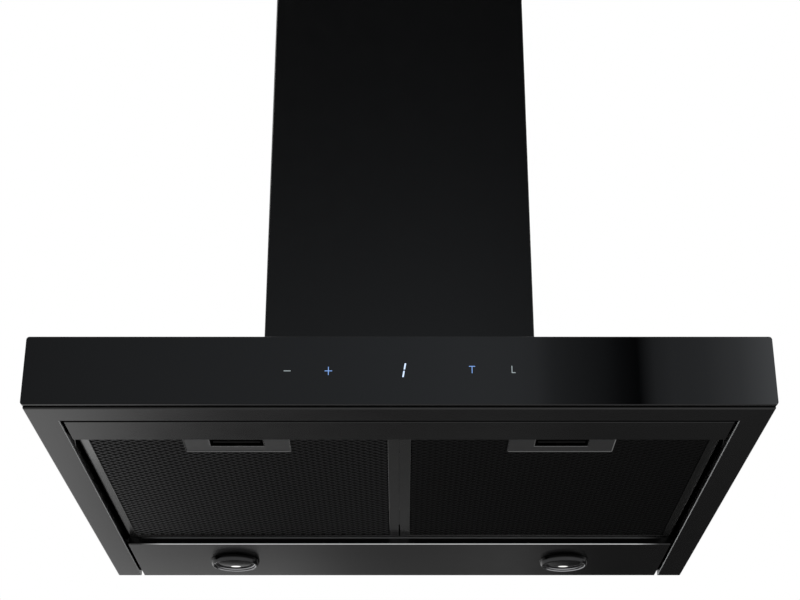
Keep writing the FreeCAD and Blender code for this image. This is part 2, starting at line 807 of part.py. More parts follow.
def control_box():
    """The box under the canopy's top that holds the power board, with its lid below."""
    across = (box_left, f"{box_left} + box_width")
    deep = (f"{front} + box_front_gap", f"{front} + box_front_gap + box_depth")
    low = f"{ceiling} - box_rise"
    inner_across = (f"{box_left} + box_wall", f"{box_left} + box_width - box_wall")
    inner_deep = (f"{deep[0]} + box_wall", f"{deep[1]} - box_wall")
    skin = box("control_skin", across, deep, (low, ceiling))
    inside = box("control_inside", inner_across, inner_deep, (low, f"{ceiling} - box_wall"))
    shell = cut("control_shell", skin, [inside])
    board_top = f"{low} + 2 * box_wall + board_thick"
    posts = []
    for end in (f"{box_left} + 3 * box_wall", f"{box_left} + box_width - 3 * box_wall"):
        for depth in (f"{deep[0]} + 3 * box_wall", f"{deep[1]} - 3 * box_wall"):
            start = (end, depth, board_top)
            length = f"{ceiling} - box_wall - ({board_top})"
            posts.append(rod(f"control_post_{len(posts)}", "Z", "post_radius", start, length))
    subpart(fused("control_box", [shell, *posts]), "control_box")
    subpart(box("control_box_lid", across, deep, (f"{low} - box_wall", low)), "control_box_lid")
    board = (f"{low} + 2 * box_wall", board_top)
    subpart(box("power_board", inner_across, inner_deep, board), "power_board")
    middle = f"({deep[0]} + box_depth / 2)"
    can_start = (f"{box_left} + 6 * box_wall", middle, f"{board_top} + capacitor_radius")
    can = rod("capacitor_can", "X", "capacitor_radius", can_start, "capacitor_length")
    subpart(can, "motor_capacitor")
    coil_left = f"{box_left} + box_width - 6 * box_wall - transformer_width"
    transformer = box(
        "transformer",
        (coil_left, f"{coil_left} + transformer_width"),
        (f"{middle} - transformer_depth / 2", f"{middle} + transformer_depth / 2"),
        (board_top, f"{board_top} + transformer_rise"),
    )
    subpart(transformer, "transformer")


# ---------------------------------------------------------------- blower case

def case_screws(name, head=True):
    """Six screws through the case's flange into the canopy, or only their holes."""
    made = []
    across = f"({case_half} + case_flange / 2)"
    rows = (f"{case_front} + lug_width", f"{case_front} / 2", "-case_back - lug_width")
    for side, sign in SIDES.items():
        for row, back in enumerate(rows):
            start = (f"{sign} * {across}", back, ceiling)
            shank = rod(f"{name}_{side}_{row}", "Z", "case_screw_radius", start, "2 * sheet")
            if head:
                top = (*start[:2], "canopy_height + sheet")
                cap = rod(f"{name}_head_{side}_{row}", "Z", "case_screw_head", top, "screw_head_rise")
                shank = fused(f"{name}_whole_{side}_{row}", [shank, cap])
            made.append(shank)
    return made


def cover_screws(name, head=True):
    """The screw on each side that holds the lower cover to the case's lug, or only its hole."""
    made = []
    reach = "case_flange"
    for side, sign in SIDES.items():
        level = (lug_middle, "canopy_height + cover_screw_rise")
        inner = f"chimney_width / 2 - {reach}" if sign == "1" else "-chimney_width / 2"
        shank = rod(f"{name}_{side}", "X", "case_screw_radius", (inner, *level), reach)
        if head:
            outer = "chimney_width / 2" if sign == "1" else "-chimney_width / 2 - screw_head_rise"
            cap = rod(f"{name}_head_{side}", "X", "screw_head", (outer, *level), "screw_head_rise")
            shank = fused(f"{name}_whole_{side}", [shank, cap])
        made.append(shank)
    return made


def blower_case():
    """The steel case over the canopy's intake, with a flange, two lugs and holes for collar and gland."""
    deep = (case_front, "-case_back")
    skin = box("case_skin", wide(case_half), deep, ("canopy_height", case_top))
    flange_level = ("canopy_height", "canopy_height + sheet")
    flange = box("case_flange", wide(f"{case_half} + case_flange"), deep, flange_level)
    lugs = []
    for side, sign in SIDES.items():
        ends = (f"{sign} * ({case_half} - sheet)", f"{sign} * (chimney_width / 2 - sheet)")
        edges = sorted(ends, key=value)
        along = (f"{lug_middle} - lug_width / 2", f"{lug_middle} + lug_width / 2")
        lugs.append(box(f"case_lug_{side}", edges, along, ("canopy_height", "canopy_height + lug_rise")))
    deep_inside = (f"{case_front} + sheet", "-case_back - sheet")
    top = f"{case_top} - sheet"
    inside = box("case_inside", wide(f"{case_half} - sheet"), deep_inside, ("canopy_height", top))
    outlet_radius = "collar_radius - collar_wall - ledge_width"
    outlet = rod("case_outlet", "Z", outlet_radius, ("0", collar_middle, top), "sheet")
    gland = rod("case_gland_hole", "Z", "gland_radius", ("gland_offset", "-gland_back", top), "sheet")
    tools = [inside, outlet, gland]
    tools += case_screws("case_screw_hole", head=False)
    tools += cover_screws("case_cover_hole", head=False)
    subpart(cut("blower_case", fused("case_solid", [skin, flange, *lugs]), tools), "blower_case")
    subpart(group("case_screws", case_screws("case_screw")), "case_screws")


def cable_gland():
    """The bushing through the case's top for the mains lead."""
    bushing = turned("gland", [
        ("gland_bore", "-gland_depth"),
        ("gland_radius", "-gland_depth"),
        ("gland_radius", "0"),
        ("gland_flange", "0"),
        ("gland_flange", "gland_rise / 2"),
        ("gland_radius", "gland_rise"),
        ("gland_bore", "gland_rise"),
    ])
    subpart(place(bushing, "gland_offset", "-gland_back", case_top), "cable_gland")


# ---------------------------------------------------------------- scroll

def scroll_form(name, x, inset):
    """The scroll's outline as a solid: three quarter rounds of growing radius and the straight outlet."""
    half = "scroll_step / 2"
    quarters = (
        (180, f"-{half}", f"-{half}", "0"),
        (-90, half, f"-{half}", "scroll_step"),
        (0, half, half, "2 * scroll_step"),
    )
    pieces = []
    for turn, across, up, growth in quarters:
        quarter = doc.addObject("Part::Cylinder", f"{name}_quarter")
        quarter.Angle = 90
        quarter.setExpression("Radius", bound(f"scroll_radius + {growth} - ({inset})"))
        quarter.setExpression("Height", bound(f"({x[1]}) - ({x[0]})"))
        facing = Turn(V(1, 0, 0), turn) * ALONG["X"]
        pieces.append(place(quarter, x[0], f"{shaft_middle} + {across}", f"shaft_rise + {up}", facing))
    neck = (
        f"{shaft_middle} - {half} + ({inset})",
        f"{shaft_middle} + {half} + scroll_radius + 2 * scroll_step - ({inset})",
    )
    pieces.append(box(f"{name}_neck", x, neck, (f"shaft_rise - {half}", f"{case_top} - sheet")))
    throat = (f"shaft_rise - {half}", f"shaft_rise - {half} + scroll_radius - ({inset})")
    pieces.append(box(f"{name}_throat", x, (f"{shaft_middle} - {half}", shaft_middle), throat))
    return fused(name, pieces)


def scroll_half(side, sign):
    """One moulded half of the scroll, open at the middle, with an inlet hole in its side."""
    outer = sorted(("0", f"{sign} * scroll_half"), key=value)
    inner = sorted(("0", f"{sign} * (scroll_half - scroll_wall)"), key=value)
    form = scroll_form(f"scroll_form_{side}", outer, "0")
    hollow = scroll_form(f"scroll_hollow_{side}", inner, "scroll_wall")
    inlet_start = (outer[0], shaft_middle, "shaft_rise")
    inlet = rod(f"scroll_inlet_{side}", "X", "inlet_radius", inlet_start, "scroll_half")
    tools = [hollow, inlet]
    if side == "right":
        tools += bush_screws("scroll_screw_hole", head=False)
    subpart(cut(f"scroll_{side}", form, tools), f"scroll_{side}")


def inlet_ring(side, sign):
    """The bell-mouthed ring on a side of the scroll."""
    ring = turned(f"ring_{side}", [
        ("inlet_lip", "-scroll_wall"),
        ("inlet_radius", "-scroll_wall"),
        ("inlet_radius", "0"),
        ("inlet_flange", "0"),
        ("inlet_flange", "inlet_flange_thick"),
        ("inlet_lip + inlet_flare", "inlet_flange_thick"),
        ("inlet_lip", "0"),
    ])
    facing = Turn(V(0, 1, 0), 90 * int(sign))
    subpart(place(ring, f"{sign} * scroll_half", shaft_middle, "shaft_rise", facing), f"inlet_ring_{side}")


# ---------------------------------------------------------------- wheel, shaft and motor

def impeller_hub():
    """The wheel's middle: a disc and the boss that sits on the shaft."""
    body = doc.addObject("PartDesign::Body", "hub_body")
    disc = circle(sketch_on(body, "hub_disc", "XY_Plane", "-wheel_disc / 2"), "0", "0", "wheel_radius")
    feature(body, "Pad", "hub_disc_pad", disc, "wheel_disc")
    boss = circle(sketch_on(body, "hub_boss", "XY_Plane", "-boss_reach"), "0", "0", "boss_radius")
    feature(body, "Pad", "hub_boss_pad", boss, "boss_reach + wheel_disc / 2")
    bore = circle(sketch_on(body, "hub_bore", "XY_Plane", "-boss_reach"), "0", "0", "shaft_radius")
    feature(body, "Pocket", "hub_bore_pocket", bore, "boss_reach + wheel_disc", reverse=True)
    subpart(place(body, "0", shaft_middle, "shaft_rise", ALONG["X"]), "impeller_hub")


def impeller(side, low, ring_low):
    """The blades on one side of the disc, joined by a ring at their far ends."""
    body = doc.addObject("PartDesign::Body", f"wheel_{side}")
    ring = circle(sketch_on(body, f"wheel_ring_{side}", "XY_Plane", ring_low), "0", "0", "wheel_radius")
    circle(ring, "0", "0", "wheel_radius - wheel_ring")
    feature(body, "Pad", f"wheel_ring_pad_{side}", ring, "wheel_ring")
    blade = sketch_on(body, f"wheel_blade_{side}", "XY_Plane", low)
    outer = "wheel_radius - wheel_ring / 4"
    inner = f"{outer} - blade_depth"
    outline(blade, [
        (inner, "-blade_thick / 2"),
        (outer, "blade_sweep"),
        (outer, "blade_sweep + blade_thick"),
        (inner, "blade_thick / 2"),
    ])
    one = feature(body, "Pad", f"wheel_blade_pad_{side}", blade, "wheel_half - wheel_disc / 2")
    doc.recompute()
    blades = body.newObject("PartDesign::PolarPattern", f"wheel_blades_{side}")
    blades.Originals = [one]
    blades.Axis = (blade, ["N_Axis"])
    blades.Angle = 360
    blades.setExpression("Occurrences", bound("blade_count"))
    body.Tip = blades
    subpart(place(body, "0", shaft_middle, "shaft_rise", ALONG["X"]), f"impeller_{side}")


def motor_set():
    """Shaft, motor, its bracket of three arms, rubber bushes and their screws."""
    end = "motor_start + motor_length"
    shaft_start = ("-boss_reach - shaft_end", shaft_middle, "shaft_rise")
    shaft_length = f"{end} + bearing_length + boss_reach + shaft_end"
    shaft = rod("shaft_bar", "X", "shaft_radius", shaft_start, shaft_length)
    subpart(shaft, "motor_shaft")
    bore = "shaft_radius + shaft_play"
    can = turned("motor_can", [
        (bore, "motor_start"),
        ("motor_radius - motor_round", "motor_start"),
        ("motor_radius", "motor_start + motor_round"),
        ("motor_radius", end),
        ("bearing_radius", end),
        ("bearing_radius", f"{end} + bearing_length"),
        (bore, f"{end} + bearing_length"),
    ])
    subpart(place(can, "0", shaft_middle, "shaft_rise", ALONG["X"]), "motor")
    ring = rod("bracket_ring", "X", "bracket_ring", (end, shaft_middle, "shaft_rise"), "bracket_thick")
    eye = rod("bracket_eye", "X", "bearing_radius", (end, shaft_middle, "shaft_rise"), "bracket_thick")
    arms = []
    for angle in ARM_ANGLES:
        arm = doc.addObject("Part::Box", "bracket_arm")
        arm.setExpression("Length", bound("bracket_thick"))
        arm.setExpression("Width", bound("bush_ring + arm_width / 2 - bearing_radius"))
        arm.setExpression("Height", bound("arm_width"))
        low = "-arm_width / 2"
        reach = "bearing_radius"
        back = f"{shaft_middle} + ({reach}) * cos({angle}) - ({low}) * sin({angle})"
        rise = f"shaft_rise + ({reach}) * sin({angle}) + ({low}) * cos({angle})"
        arms.append(place(arm, end, back, rise, Turn(V(1, 0, 0), angle)))
    holes = bush_screws("bracket_screw_hole", head=False)
    subpart(cut("bracket_cut", fused("bracket_star", [ring, *arms]), [eye, *holes]), "motor_bracket")
    bushes = []
    for number, angle in enumerate(ARM_ANGLES):
        start = bush_place(angle, "scroll_half")
        sleeve = rod(f"bush_sleeve_{number}", "X", "bush_radius", start, f"{end} - scroll_half")
        hole = rod(f"bush_hole_{number}", "X", "case_screw_radius", start, f"{end} - scroll_half")
        bushes.append(cut(f"bush_{number}", sleeve, [hole]))
    subpart(group("motor_bushes", bushes), "motor_bushes")
    subpart(group("bracket_screws", bush_screws("bracket_screw")), "bracket_screws")


ARM_ANGLES = (60, 180, 300)


def bush_place(angle, across):
    """A point on the circle of the rubber bushes."""
    return across, f"{shaft_middle} + bush_ring * cos({angle})", f"shaft_rise + bush_ring * sin({angle})"


def bush_screws(name, head=True):
    """The three screws that clamp the bracket and its bushes to the scroll, or only their holes."""
    end = "motor_start + motor_length + bracket_thick"
    start = "scroll_half - scroll_wall"
    made = []
    for number, angle in enumerate(ARM_ANGLES):
        inner = bush_place(angle, start)
        shank = rod(f"{name}_{number}", "X", "case_screw_radius", inner, f"{end} - ({start})")
        if head:
            cap = rod(f"{name}_head_{number}", "X", "screw_head", bush_place(angle, end), "screw_head_rise")
            shank = fused(f"{name}_whole_{number}", [shank, cap])
        made.append(shank)
    return made


# ---------------------------------------------------------------- outlet collar and flaps

pin_level = f"({case_top} + pin_rise)"


def outlet_collar():
    """The duct collar, with a flange on the case, a ledge under the flaps and holes for their pin."""
    inner = "collar_radius - collar_wall"
    ledge_top = "pin_rise - flap_thick / 2 - slide_gap / 2"
    ring = turned("collar_ring", [
        (f"{inner} - ledge_width", f"{ledge_top} - collar_wall"),
        (inner, f"{ledge_top} - collar_wall - ledge_width / 2"),
        (inner, "0"),
        ("collar_flange", "0"),
        ("collar_flange", "collar_wall"),
        ("collar_radius", "collar_wall"),
        ("collar_radius", "collar_rise"),
        (inner, "collar_rise"),
        (inner, ledge_top),
        (f"{inner} - ledge_width", ledge_top),
    ])
    place(ring, "0", collar_middle, case_top)
    pin_half = "collar_radius - collar_wall / 2"
    start = ("-collar_radius", collar_middle, pin_level)
    hole = rod("collar_pin_hole", "X", "pin_radius", start, "2 * collar_radius")
    subpart(cut("collar_cut", ring, [hole]), "outlet_collar")
    pin_start = (f"-({pin_half})", collar_middle, pin_level)
    subpart(rod("pin_bar", "X", "pin_radius", pin_start, f"2 * ({pin_half})"), "flap_pin")


def flap(side, way, knuckle_start):
    """Half a disc that swings up about the pin, on two knuckles."""
    radius = "collar_radius - collar_wall - flap_gap"
    low = f"{pin_level} - flap_thick / 2"
    high = f"{pin_level} + flap_thick / 2"
    disc = rod(f"flap_disc_{side}", "Z", radius, ("0", collar_middle, low), "flap_thick")
    edge = f"{collar_middle} + {way} * flap_back"
    past = f"{collar_middle} - {way} * collar_radius"
    other = box(f"flap_other_{side}", wide("collar_radius"), sorted((edge, past), key=value), (low, high))
    pieces = [cut(f"flap_half_{side}", disc, [other])]
    for sign in SIDES.values():
        ends = (f"{sign} * ({knuckle_start})", f"{sign} * ({knuckle_start} + knuckle_length)")
        across = sorted(ends, key=value)
        deep = sorted((collar_middle, f"{collar_middle} + {way} * (flap_back + sheet)"), key=value)
        pieces.append(box(f"flap_tab_{side}", across, deep, (low, high)))
        start = (across[0], collar_middle, pin_level)
        pieces.append(rod(f"flap_knuckle_{side}", "X", "knuckle_radius", start, "knuckle_length"))
    bore_start = ("-collar_radius", collar_middle, pin_level)
    bore = rod(f"flap_bore_{side}", "X", "pin_radius + pin_play", bore_start, "2 * collar_radius")
    subpart(cut(f"flap_cut_{side}", fused(f"flap_solid_{side}", pieces), [bore]), f"flap_{side}")


# ---------------------------------------------------------------- hanging plate and chimney covers

def hanging_plate():
    """The plate that hangs on two wall hooks and carries the case."""
    across = wide("plate_width / 2")
    top = "canopy_height + plate_rise"
    sheet_part = box("hanging_sheet", across, ("-plate_sheet", "0"), ("canopy_height", top))
    flanges = []
    for side, sign in SIDES.items():
        ends = (f"{sign} * (plate_width / 2 - plate_sheet)", f"{sign} * plate_width / 2")
        edges = sorted(ends, key=value)
        flanges.append(box(f"hanging_flange_{side}", edges, ("-case_back", "0"), ("canopy_height", top)))
    holes = []
    for side, sign in SIDES.items():
        start = (f"{sign} * hook_spacing / 2", "-plate_sheet", "hook_rise")
        holes.append(rod(f"hook_hole_{side}", "Y", "hook_radius", start, "plate_sheet"))
    subpart(cut("hanging_cut", fused("hanging_solid", [sheet_part, *flanges]), holes), "hanging_plate")


def cover(name, half, deep_front, deep_back, low, rise):
    """A three-sided cover folded from one sheet, with a narrow return along each rear edge."""
    body = doc.addObject("PartDesign::Body", name)
    back = f"-({deep_back})"
    ahead = f"-({deep_front})"
    right = [
        (half, ahead),
        (half, back),
        (f"{half} - return_width", back),
        (f"{half} - return_width", f"{back} - sheet"),
        (f"{half} - sheet", f"{back} - sheet"),
        (f"{half} - sheet", f"{ahead} + sheet"),
    ]
    left = [(f"-({across})", deep) for across, deep in reversed(right)]
    sketch = outline(sketch_on(body, f"{name}_plan", "XY_Plane", low), right + left)
    feature(body, "Pad", f"{name}_pad", sketch, rise)
    return body


def lower_chimney():
    """The cover that stands on the canopy."""
    body = cover("lower_cover", "chimney_width / 2", "chimney_depth", "0", "canopy_height", "lower_rise")
    holes = cover_screws("lower_cover_hole", head=False)
    subpart(cut("lower_cut", body, holes), "lower_chimney")
    subpart(group("lower_screws", cover_screws("lower_screw")), "chimney_screws")


upper_half = "(chimney_width / 2 - sheet - slide_gap)"
upper_low = "(canopy_height + upper_start)"
upper_top = f"({upper_low} + upper_rise)"


def upper_screws(name, head=True):
    """The screw on each side that holds the upper cover to its wall bracket, or only its hole."""
    made = []
    for side, sign in SIDES.items():
        level = ("-bracket_screw_back", f"{upper_top} - bracket_top - bracket_rise / 2")
        inner = f"{upper_half} - 2 * sheet" if sign == "1" else f"-{upper_half}"
        shank = rod(f"{name}_{side}", "X", "case_screw_radius", (inner, *level), "2 * sheet")
        if head:
            outer = upper_half if sign == "1" else f"-{upper_half} - screw_head_rise"
            cap = rod(f"{name}_head_{side}", "X", "screw_head", (outer, *level), "screw_head_rise")
            shank = fused(f"{name}_whole_{side}", [shank, cap])
        made.append(shank)
    return made


def upper_chimney():
    """The cover that slides inside the lower one, with louvres near its top."""
    ahead = "chimney_depth - sheet - slide_gap"
    body = cover("upper_cover", upper_half, ahead, "sheet + slide_gap", upper_low, "upper_rise")
    doc.recompute()
    plane_offset = f"-{upper_half}"
    slot = sketch_on(body, "louvre_slot", "YZ_Plane", plane_offset)
    middle = "-chimney_depth / 2"
    top = f"{upper_top} - louvre_top"
    long = (f"{middle} - louvre_length / 2", f"{middle} + louvre_length / 2")
    outline(slot, rectangle(long, (f"{top} - louvre_rise", top)))
    first = feature(body, "Pocket", "louvre_first", slot, f"2 * {upper_half}", reverse=True)
    doc.recompute()
    rows = body.newObject("PartDesign::LinearPattern", "louvres")
    rows.Originals = [first]
    rows.Direction = (slot, ["V_Axis"])
    rows.Reversed = True
    rows.setExpression("Length", bound("louvre_pitch * (louvre_count - 1)"))
    rows.setExpression("Occurrences", bound("louvre_count"))
    body.Tip = rows
    holes = upper_screws("upper_cover_hole", head=False)
    subpart(cut("upper_cut", body, holes), "upper_chimney")
    subpart(group("upper_screws", upper_screws("upper_screw")), "upper_cover_screws")


def chimney_bracket():
    """The wall bracket inside the upper cover: a strip on the wall and an arm along each side."""
    body = doc.addObject("PartDesign::Body", "bracket_body")
    outer = f"({upper_half} - sheet)"
    step = "(case_back / 2 + sheet)"
    right = [
        ("bracket_width / 2 - sheet", "-sheet"),
        ("bracket_width / 2 - sheet", f"-{step} - sheet"),
        (f"{outer} - sheet", f"-{step} - sheet"),
        (f"{outer} - sheet", "-bracket_arm"),
        (outer, "-bracket_arm"),
        (outer, f"-{step}"),
        ("bracket_width / 2", f"-{step}"),
        ("bracket_width / 2", "0"),
    ]
    left = [(f"-({across})", deep) for across, deep in reversed(right)]
    low = f"{upper_top} - bracket_top - bracket_rise"
    sketch = outline(sketch_on(body, "bracket_plan", "XY_Plane", low), right + left)
    feature(body, "Pad", "bracket_pad", sketch, "bracket_rise")
    holes = upper_screws("bracket_cover_hole", head=False)
    for side, sign in SIDES.items():
        start = (f"{sign} * hook_spacing / 2", "-sheet", f"{low} + bracket_rise / 2")
        holes.append(rod(f"bracket_wall_hole_{side}", "Y", "bracket_hole_radius", start, "sheet"))
    subpart(cut("bracket_holes", body, holes), "chimney_bracket")


# ---------------------------------------------------------------- put together

canopy_shell()
front_rail()
lamp_panel()
subpart(group("rivets", ear_rivets("rivet")), "panel_rivets")
glass_panel()
glass_tape()
touch_keys()
control_box()
lamp_clips()
blower_case()
cable_gland()
for side, sign in SIDES.items():
    grease_filter(side, sign)
    lamp(side, sign)
    scroll_half(side, sign)
    inlet_ring(side, sign)
impeller_hub()
impeller("left", "-wheel_half", "-wheel_half")
impeller("right", "wheel_disc / 2", "wheel_half - wheel_ring")
motor_set()
outlet_collar()
flap("front", "-1", "knuckle_inner")
flap("rear", "1", "knuckle_outer")
hanging_plate()
lower_chimney()
upper_chimney()
chimney_bracket()
doc.recompute()

for item in doc.Objects:
    if {"Invalid", "Error"} & set(item.State):
        raise RuntimeError(f"{item.Label} failed: {item.State}")
for piece in subparts:
    if piece.Shape.isNull() or not piece.Shape.isValid():
        raise RuntimeError(f"{piece.Label} has no valid shape")

os.makedirs("parts", exist_ok=True)
for piece in subparts:
    piece.Shape.exportStep(f"parts/{piece.Label}.step")
    print(piece.Label, len(piece.Shape.Solids), round(piece.Shape.Volume))
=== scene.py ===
import json
import math

import bmesh
import bpy
from mathutils import Matrix, Vector


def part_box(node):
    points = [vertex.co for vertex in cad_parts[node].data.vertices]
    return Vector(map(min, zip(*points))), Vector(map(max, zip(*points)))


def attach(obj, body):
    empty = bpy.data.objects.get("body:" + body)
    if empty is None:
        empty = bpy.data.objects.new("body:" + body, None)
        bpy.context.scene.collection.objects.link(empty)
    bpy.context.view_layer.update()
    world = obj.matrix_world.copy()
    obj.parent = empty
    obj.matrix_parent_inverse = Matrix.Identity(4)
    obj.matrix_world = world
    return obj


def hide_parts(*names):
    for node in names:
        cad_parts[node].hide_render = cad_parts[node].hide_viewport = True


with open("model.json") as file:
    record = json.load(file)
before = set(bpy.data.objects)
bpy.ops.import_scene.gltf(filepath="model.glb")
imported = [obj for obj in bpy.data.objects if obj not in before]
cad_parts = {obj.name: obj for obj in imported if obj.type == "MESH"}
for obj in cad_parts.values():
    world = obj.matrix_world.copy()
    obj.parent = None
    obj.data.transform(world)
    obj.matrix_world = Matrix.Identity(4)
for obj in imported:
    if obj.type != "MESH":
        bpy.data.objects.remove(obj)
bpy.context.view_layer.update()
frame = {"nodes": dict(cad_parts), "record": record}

# ---------------------------------------------------------------- camera
# The camera stands low in front of the hood and looks up at its underside,
# so that the glass, the filters, the lamps and the foot of the chimney all show.

mm = 0.001
eye_side = 0.6 * mm
eye_back = -1.7171
eye_drop = -0.4668
eye_pitch = math.radians(24.67)
lens_length = 74.4
bpy.ops.object.camera_add(
    location=(eye_side, eye_back, eye_drop), rotation=(math.pi / 2 + eye_pitch, 0, 0)
)
camera = bpy.context.object
camera.data.lens = lens_length
bpy.context.scene.camera = camera
bpy.context.scene.view_settings.view_transform = "Standard"


# ---------------------------------------------------------------- studio
# A pale floor, a white surround and soft lamps. Black coat and black glass show
# only what they mirror, so dark cards with soft edges stand where they look.

class Number:
    """A socket that carries a number: + - * / and ** on it add Math nodes to its tree."""

    def __init__(self, look, socket):
        self.look = look
        self.socket = socket

    def worked(self, operation, first, second=0.0):
        return self.look.node("ShaderNodeMath", {"operation": operation}, {0: first, 1: second})

    def __add__(self, other):
        return self.worked("ADD", self, other)

    def __sub__(self, other):
        return self.worked("SUBTRACT", self, other)

    def __rsub__(self, other):
        return self.worked("SUBTRACT", other, self)

    def __mul__(self, other):
        return self.worked("MULTIPLY", self, other)

    def __truediv__(self, other):
        return self.worked("DIVIDE", self, other)

    def __rtruediv__(self, other):
        return self.worked("DIVIDE", other, self)

    def __pow__(self, other):
        return self.worked("POWER", self, other)

    def __rpow__(self, other):
        return self.worked("POWER", other, self)

    __radd__ = __add__
    __rmul__ = __mul__

    def above(self, edge):
        return self.worked("GREATER_THAN", self, edge)

    def most(self, other):
        return self.worked("MAXIMUM", self, other)

    def wave(self):
        return self.worked("SINE", self)

    def size(self):
        return self.worked("ABSOLUTE", self)


class Look:
    """A node tree of a material or of the world, and the one way its nodes are made."""

    def __init__(self, owner):
        owner.use_nodes = True
        self.tree = owner.node_tree
        self.tree.nodes.clear()
        self.owner = owner

    def node(self, kind, settings=None, values=None, outlet=0):
        made = self.tree.nodes.new(kind)
        for name, setting in (settings or {}).items():
            if name == "stops":
                while len(made.color_ramp.elements) < len(setting):
                    made.color_ramp.elements.new(1.0)
                for element, (position, tone) in zip(made.color_ramp.elements, setting):
                    element.position = position
                    element.color = (tone, tone, tone, 1.0)
            else:
                setattr(made, name, setting)
        for socket, value in (values or {}).items():
            if isinstance(value, Number):
                self.tree.links.new(value.socket, made.inputs[socket])
            else:
                made.inputs[socket].default_value = value
        return Number(self, made.outputs[outlet]) if made.outputs else None

    def place(self):
        return self.node("ShaderNodeTexCoord", outlet=3)

    def along(self, place, axis):
        return self.node("ShaderNodeSeparateXYZ", None, {0: place}, outlet=axis)

    def noise(self, place, scale, detail=2.0):
        return self.node("ShaderNodeTexNoise", None, {"Vector": place, "Scale": scale, "Detail": detail})

    def stretched(self, place, stretch):
        return self.node("ShaderNodeMapping", None, {"Vector": place, "Scale": stretch})

    def ramp(self, number, stops):
        return self.node("ShaderNodeValToRGB", {"stops": stops}, {0: number})

    def blend(self, first, second, share):
        return self.node("ShaderNodeMix", {"data_type": "RGBA"}, {0: share, 6: first, 7: second}, outlet=2)

    def made_of(self, values):
        skin = self.node("ShaderNodeBsdfPrincipled", None, values)
        self.node("ShaderNodeOutputMaterial", None, {0: skin})
        return self.owner


def white_rays(look):
    """1 for rays from the camera and for rays mirrored or let through by a surface, else 0."""
    camera_ray = look.node("ShaderNodeLightPath")
    glossy_ray = look.node("ShaderNodeLightPath", outlet=3)
    clear_ray = look.node("ShaderNodeLightPath", outlet=6)
    return camera_ray.most(glossy_ray).most(clear_ray)


surround = bpy.data.worlds.new("surround")
bpy.context.scene.world = surround
look = Look(surround)
fill_light = 0.45
strength = white_rays(look) * (1 - fill_light) + fill_light
sky = look.node("ShaderNodeBackground", None, {"Color": (1, 1, 1, 1), "Strength": strength})
look.node("ShaderNodeOutputWorld", None, {0: sky})


def soft_lamp(name, place, aim, side, power):
    """A square soft lamp that faces a point."""
    bpy.ops.object.light_add(type="AREA", location=place)
    lamp = bpy.context.object
    lamp.name = name
    lamp.rotation_euler = (Vector(aim) - Vector(place)).to_track_quat("-Z", "Y").to_euler()
    lamp.data.shape = "SQUARE"
    lamp.data.size = side
    lamp.data.energy = power


hood_middle = (0, -0.25, 0.2)
lamp_side = 1.6
soft_lamp("lamp_high_left", (-2.2, -2.0, 2.6), hood_middle, lamp_side, 60)
soft_lamp("lamp_high_right", (2.4, 1.2, 2.4), hood_middle, lamp_side, 40)

floor_side = 80
floor_drop = -0.85
bpy.ops.mesh.primitive_plane_add(size=floor_side, location=(0, 0, floor_drop))
floor = bpy.context.object
floor.name = "studio_floor"
look = Look(bpy.data.materials.new("pale_floor"))
tone = look.noise(look.place(), 0.7) * 0.02 + 0.8
shade = look.node("ShaderNodeBsdfDiffuse", None, {"Color": tone})
white = look.node("ShaderNodeEmission", None, {"Color": (1, 1, 1, 1), "Strength": 1.0})
whitest_share = 0.65
pale = look.node("ShaderNodeMixShader", None, {0: white_rays(look) * whitest_share, 1: shade, 2: white})
look.node("ShaderNodeOutputMaterial", None, {0: pale})
floor.data.materials.append(look.owner)


def mirror_card(name, low, high, turn):
    """A card that only mirrored rays meet, with its look and the share of the way across it."""
    middle = [(a + b) / 2 for a, b in zip(low, high)]
    bpy.ops.mesh.primitive_plane_add(size=1, location=middle, rotation=turn)
    card = bpy.context.object
    card.name = name
    spans = [b - a for a, b in zip(low, high)]
    card.scale = (spans[2], spans[1], 1) if turn[1] else (spans[0], max(spans[1], spans[2]), 1)
    bpy.ops.object.transform_apply(location=True, rotation=True, scale=True)
    card.visible_camera = False
    card.visible_diffuse = False
    card.visible_shadow = False
    card.visible_transmission = False
    look = Look(bpy.data.materials.new(name))
    across = (look.along(look.place(), 0) - low[0]) / (high[0] - low[0])
    return card, look, across


# in front, behind the camera: what the glass and the chimney mirror
upright = (math.pi / 2, 0, 0)
card_half = 6.0
card_deep = -3.5
card_low = -0.8
card_high = 7.0
glass_card, look, across = mirror_card(
    "card_front", (-card_half, card_deep, card_low), (card_half, card_deep, card_high), upright
)
glass_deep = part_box("glass_panel")[0].y
glass_reach = 1 + (glass_deep - card_deep) / (glass_deep - eye_back)


def at_glass(millimetres):
    """Where along the front card the mirrored ray of a point on the glass ends, from 0 to 1."""
    return 0.5 + millimetres * mm * glass_reach / (2 * card_half)


glow = look.ramp(across, [
    (at_glass(-420), 0.08),
    (at_glass(-290), 0.28),
    (at_glass(-60), 0.42),
    (at_glass(60), 0.53),
    (at_glass(105), 0.50),
    (at_glass(124), 0.28),
    (at_glass(160), 0.15),
    (at_glass(188), 0.0),
    (at_glass(196), 0.12),
    (at_glass(206), 0.38),
    (at_glass(240), 0.44),
    (at_glass(280), 0.80),
    (at_glass(292), 1.3),
    (at_glass(420), 0.3),
])
rise = (look.along(look.place(), 2) - card_low) / (card_high - card_low)
fade = look.ramp(rise, [
    (0.0, 0.3), (0.24, 1.0), (0.29, 0.95), (0.36, 0.38), (0.42, 0.16), (0.50, 0.05), (1.0, 0.03),
])
blue = look.blend((0.92, 0.98, 1.05, 1), (1, 1, 1, 1), (across - 0.5).size() * 4)
light = look.node("ShaderNodeEmission", None, {"Color": blue, "Strength": glow * fade})
look.node("ShaderNodeOutputMaterial", None, {0: light})
glass_card.data.materials.append(look.owner)


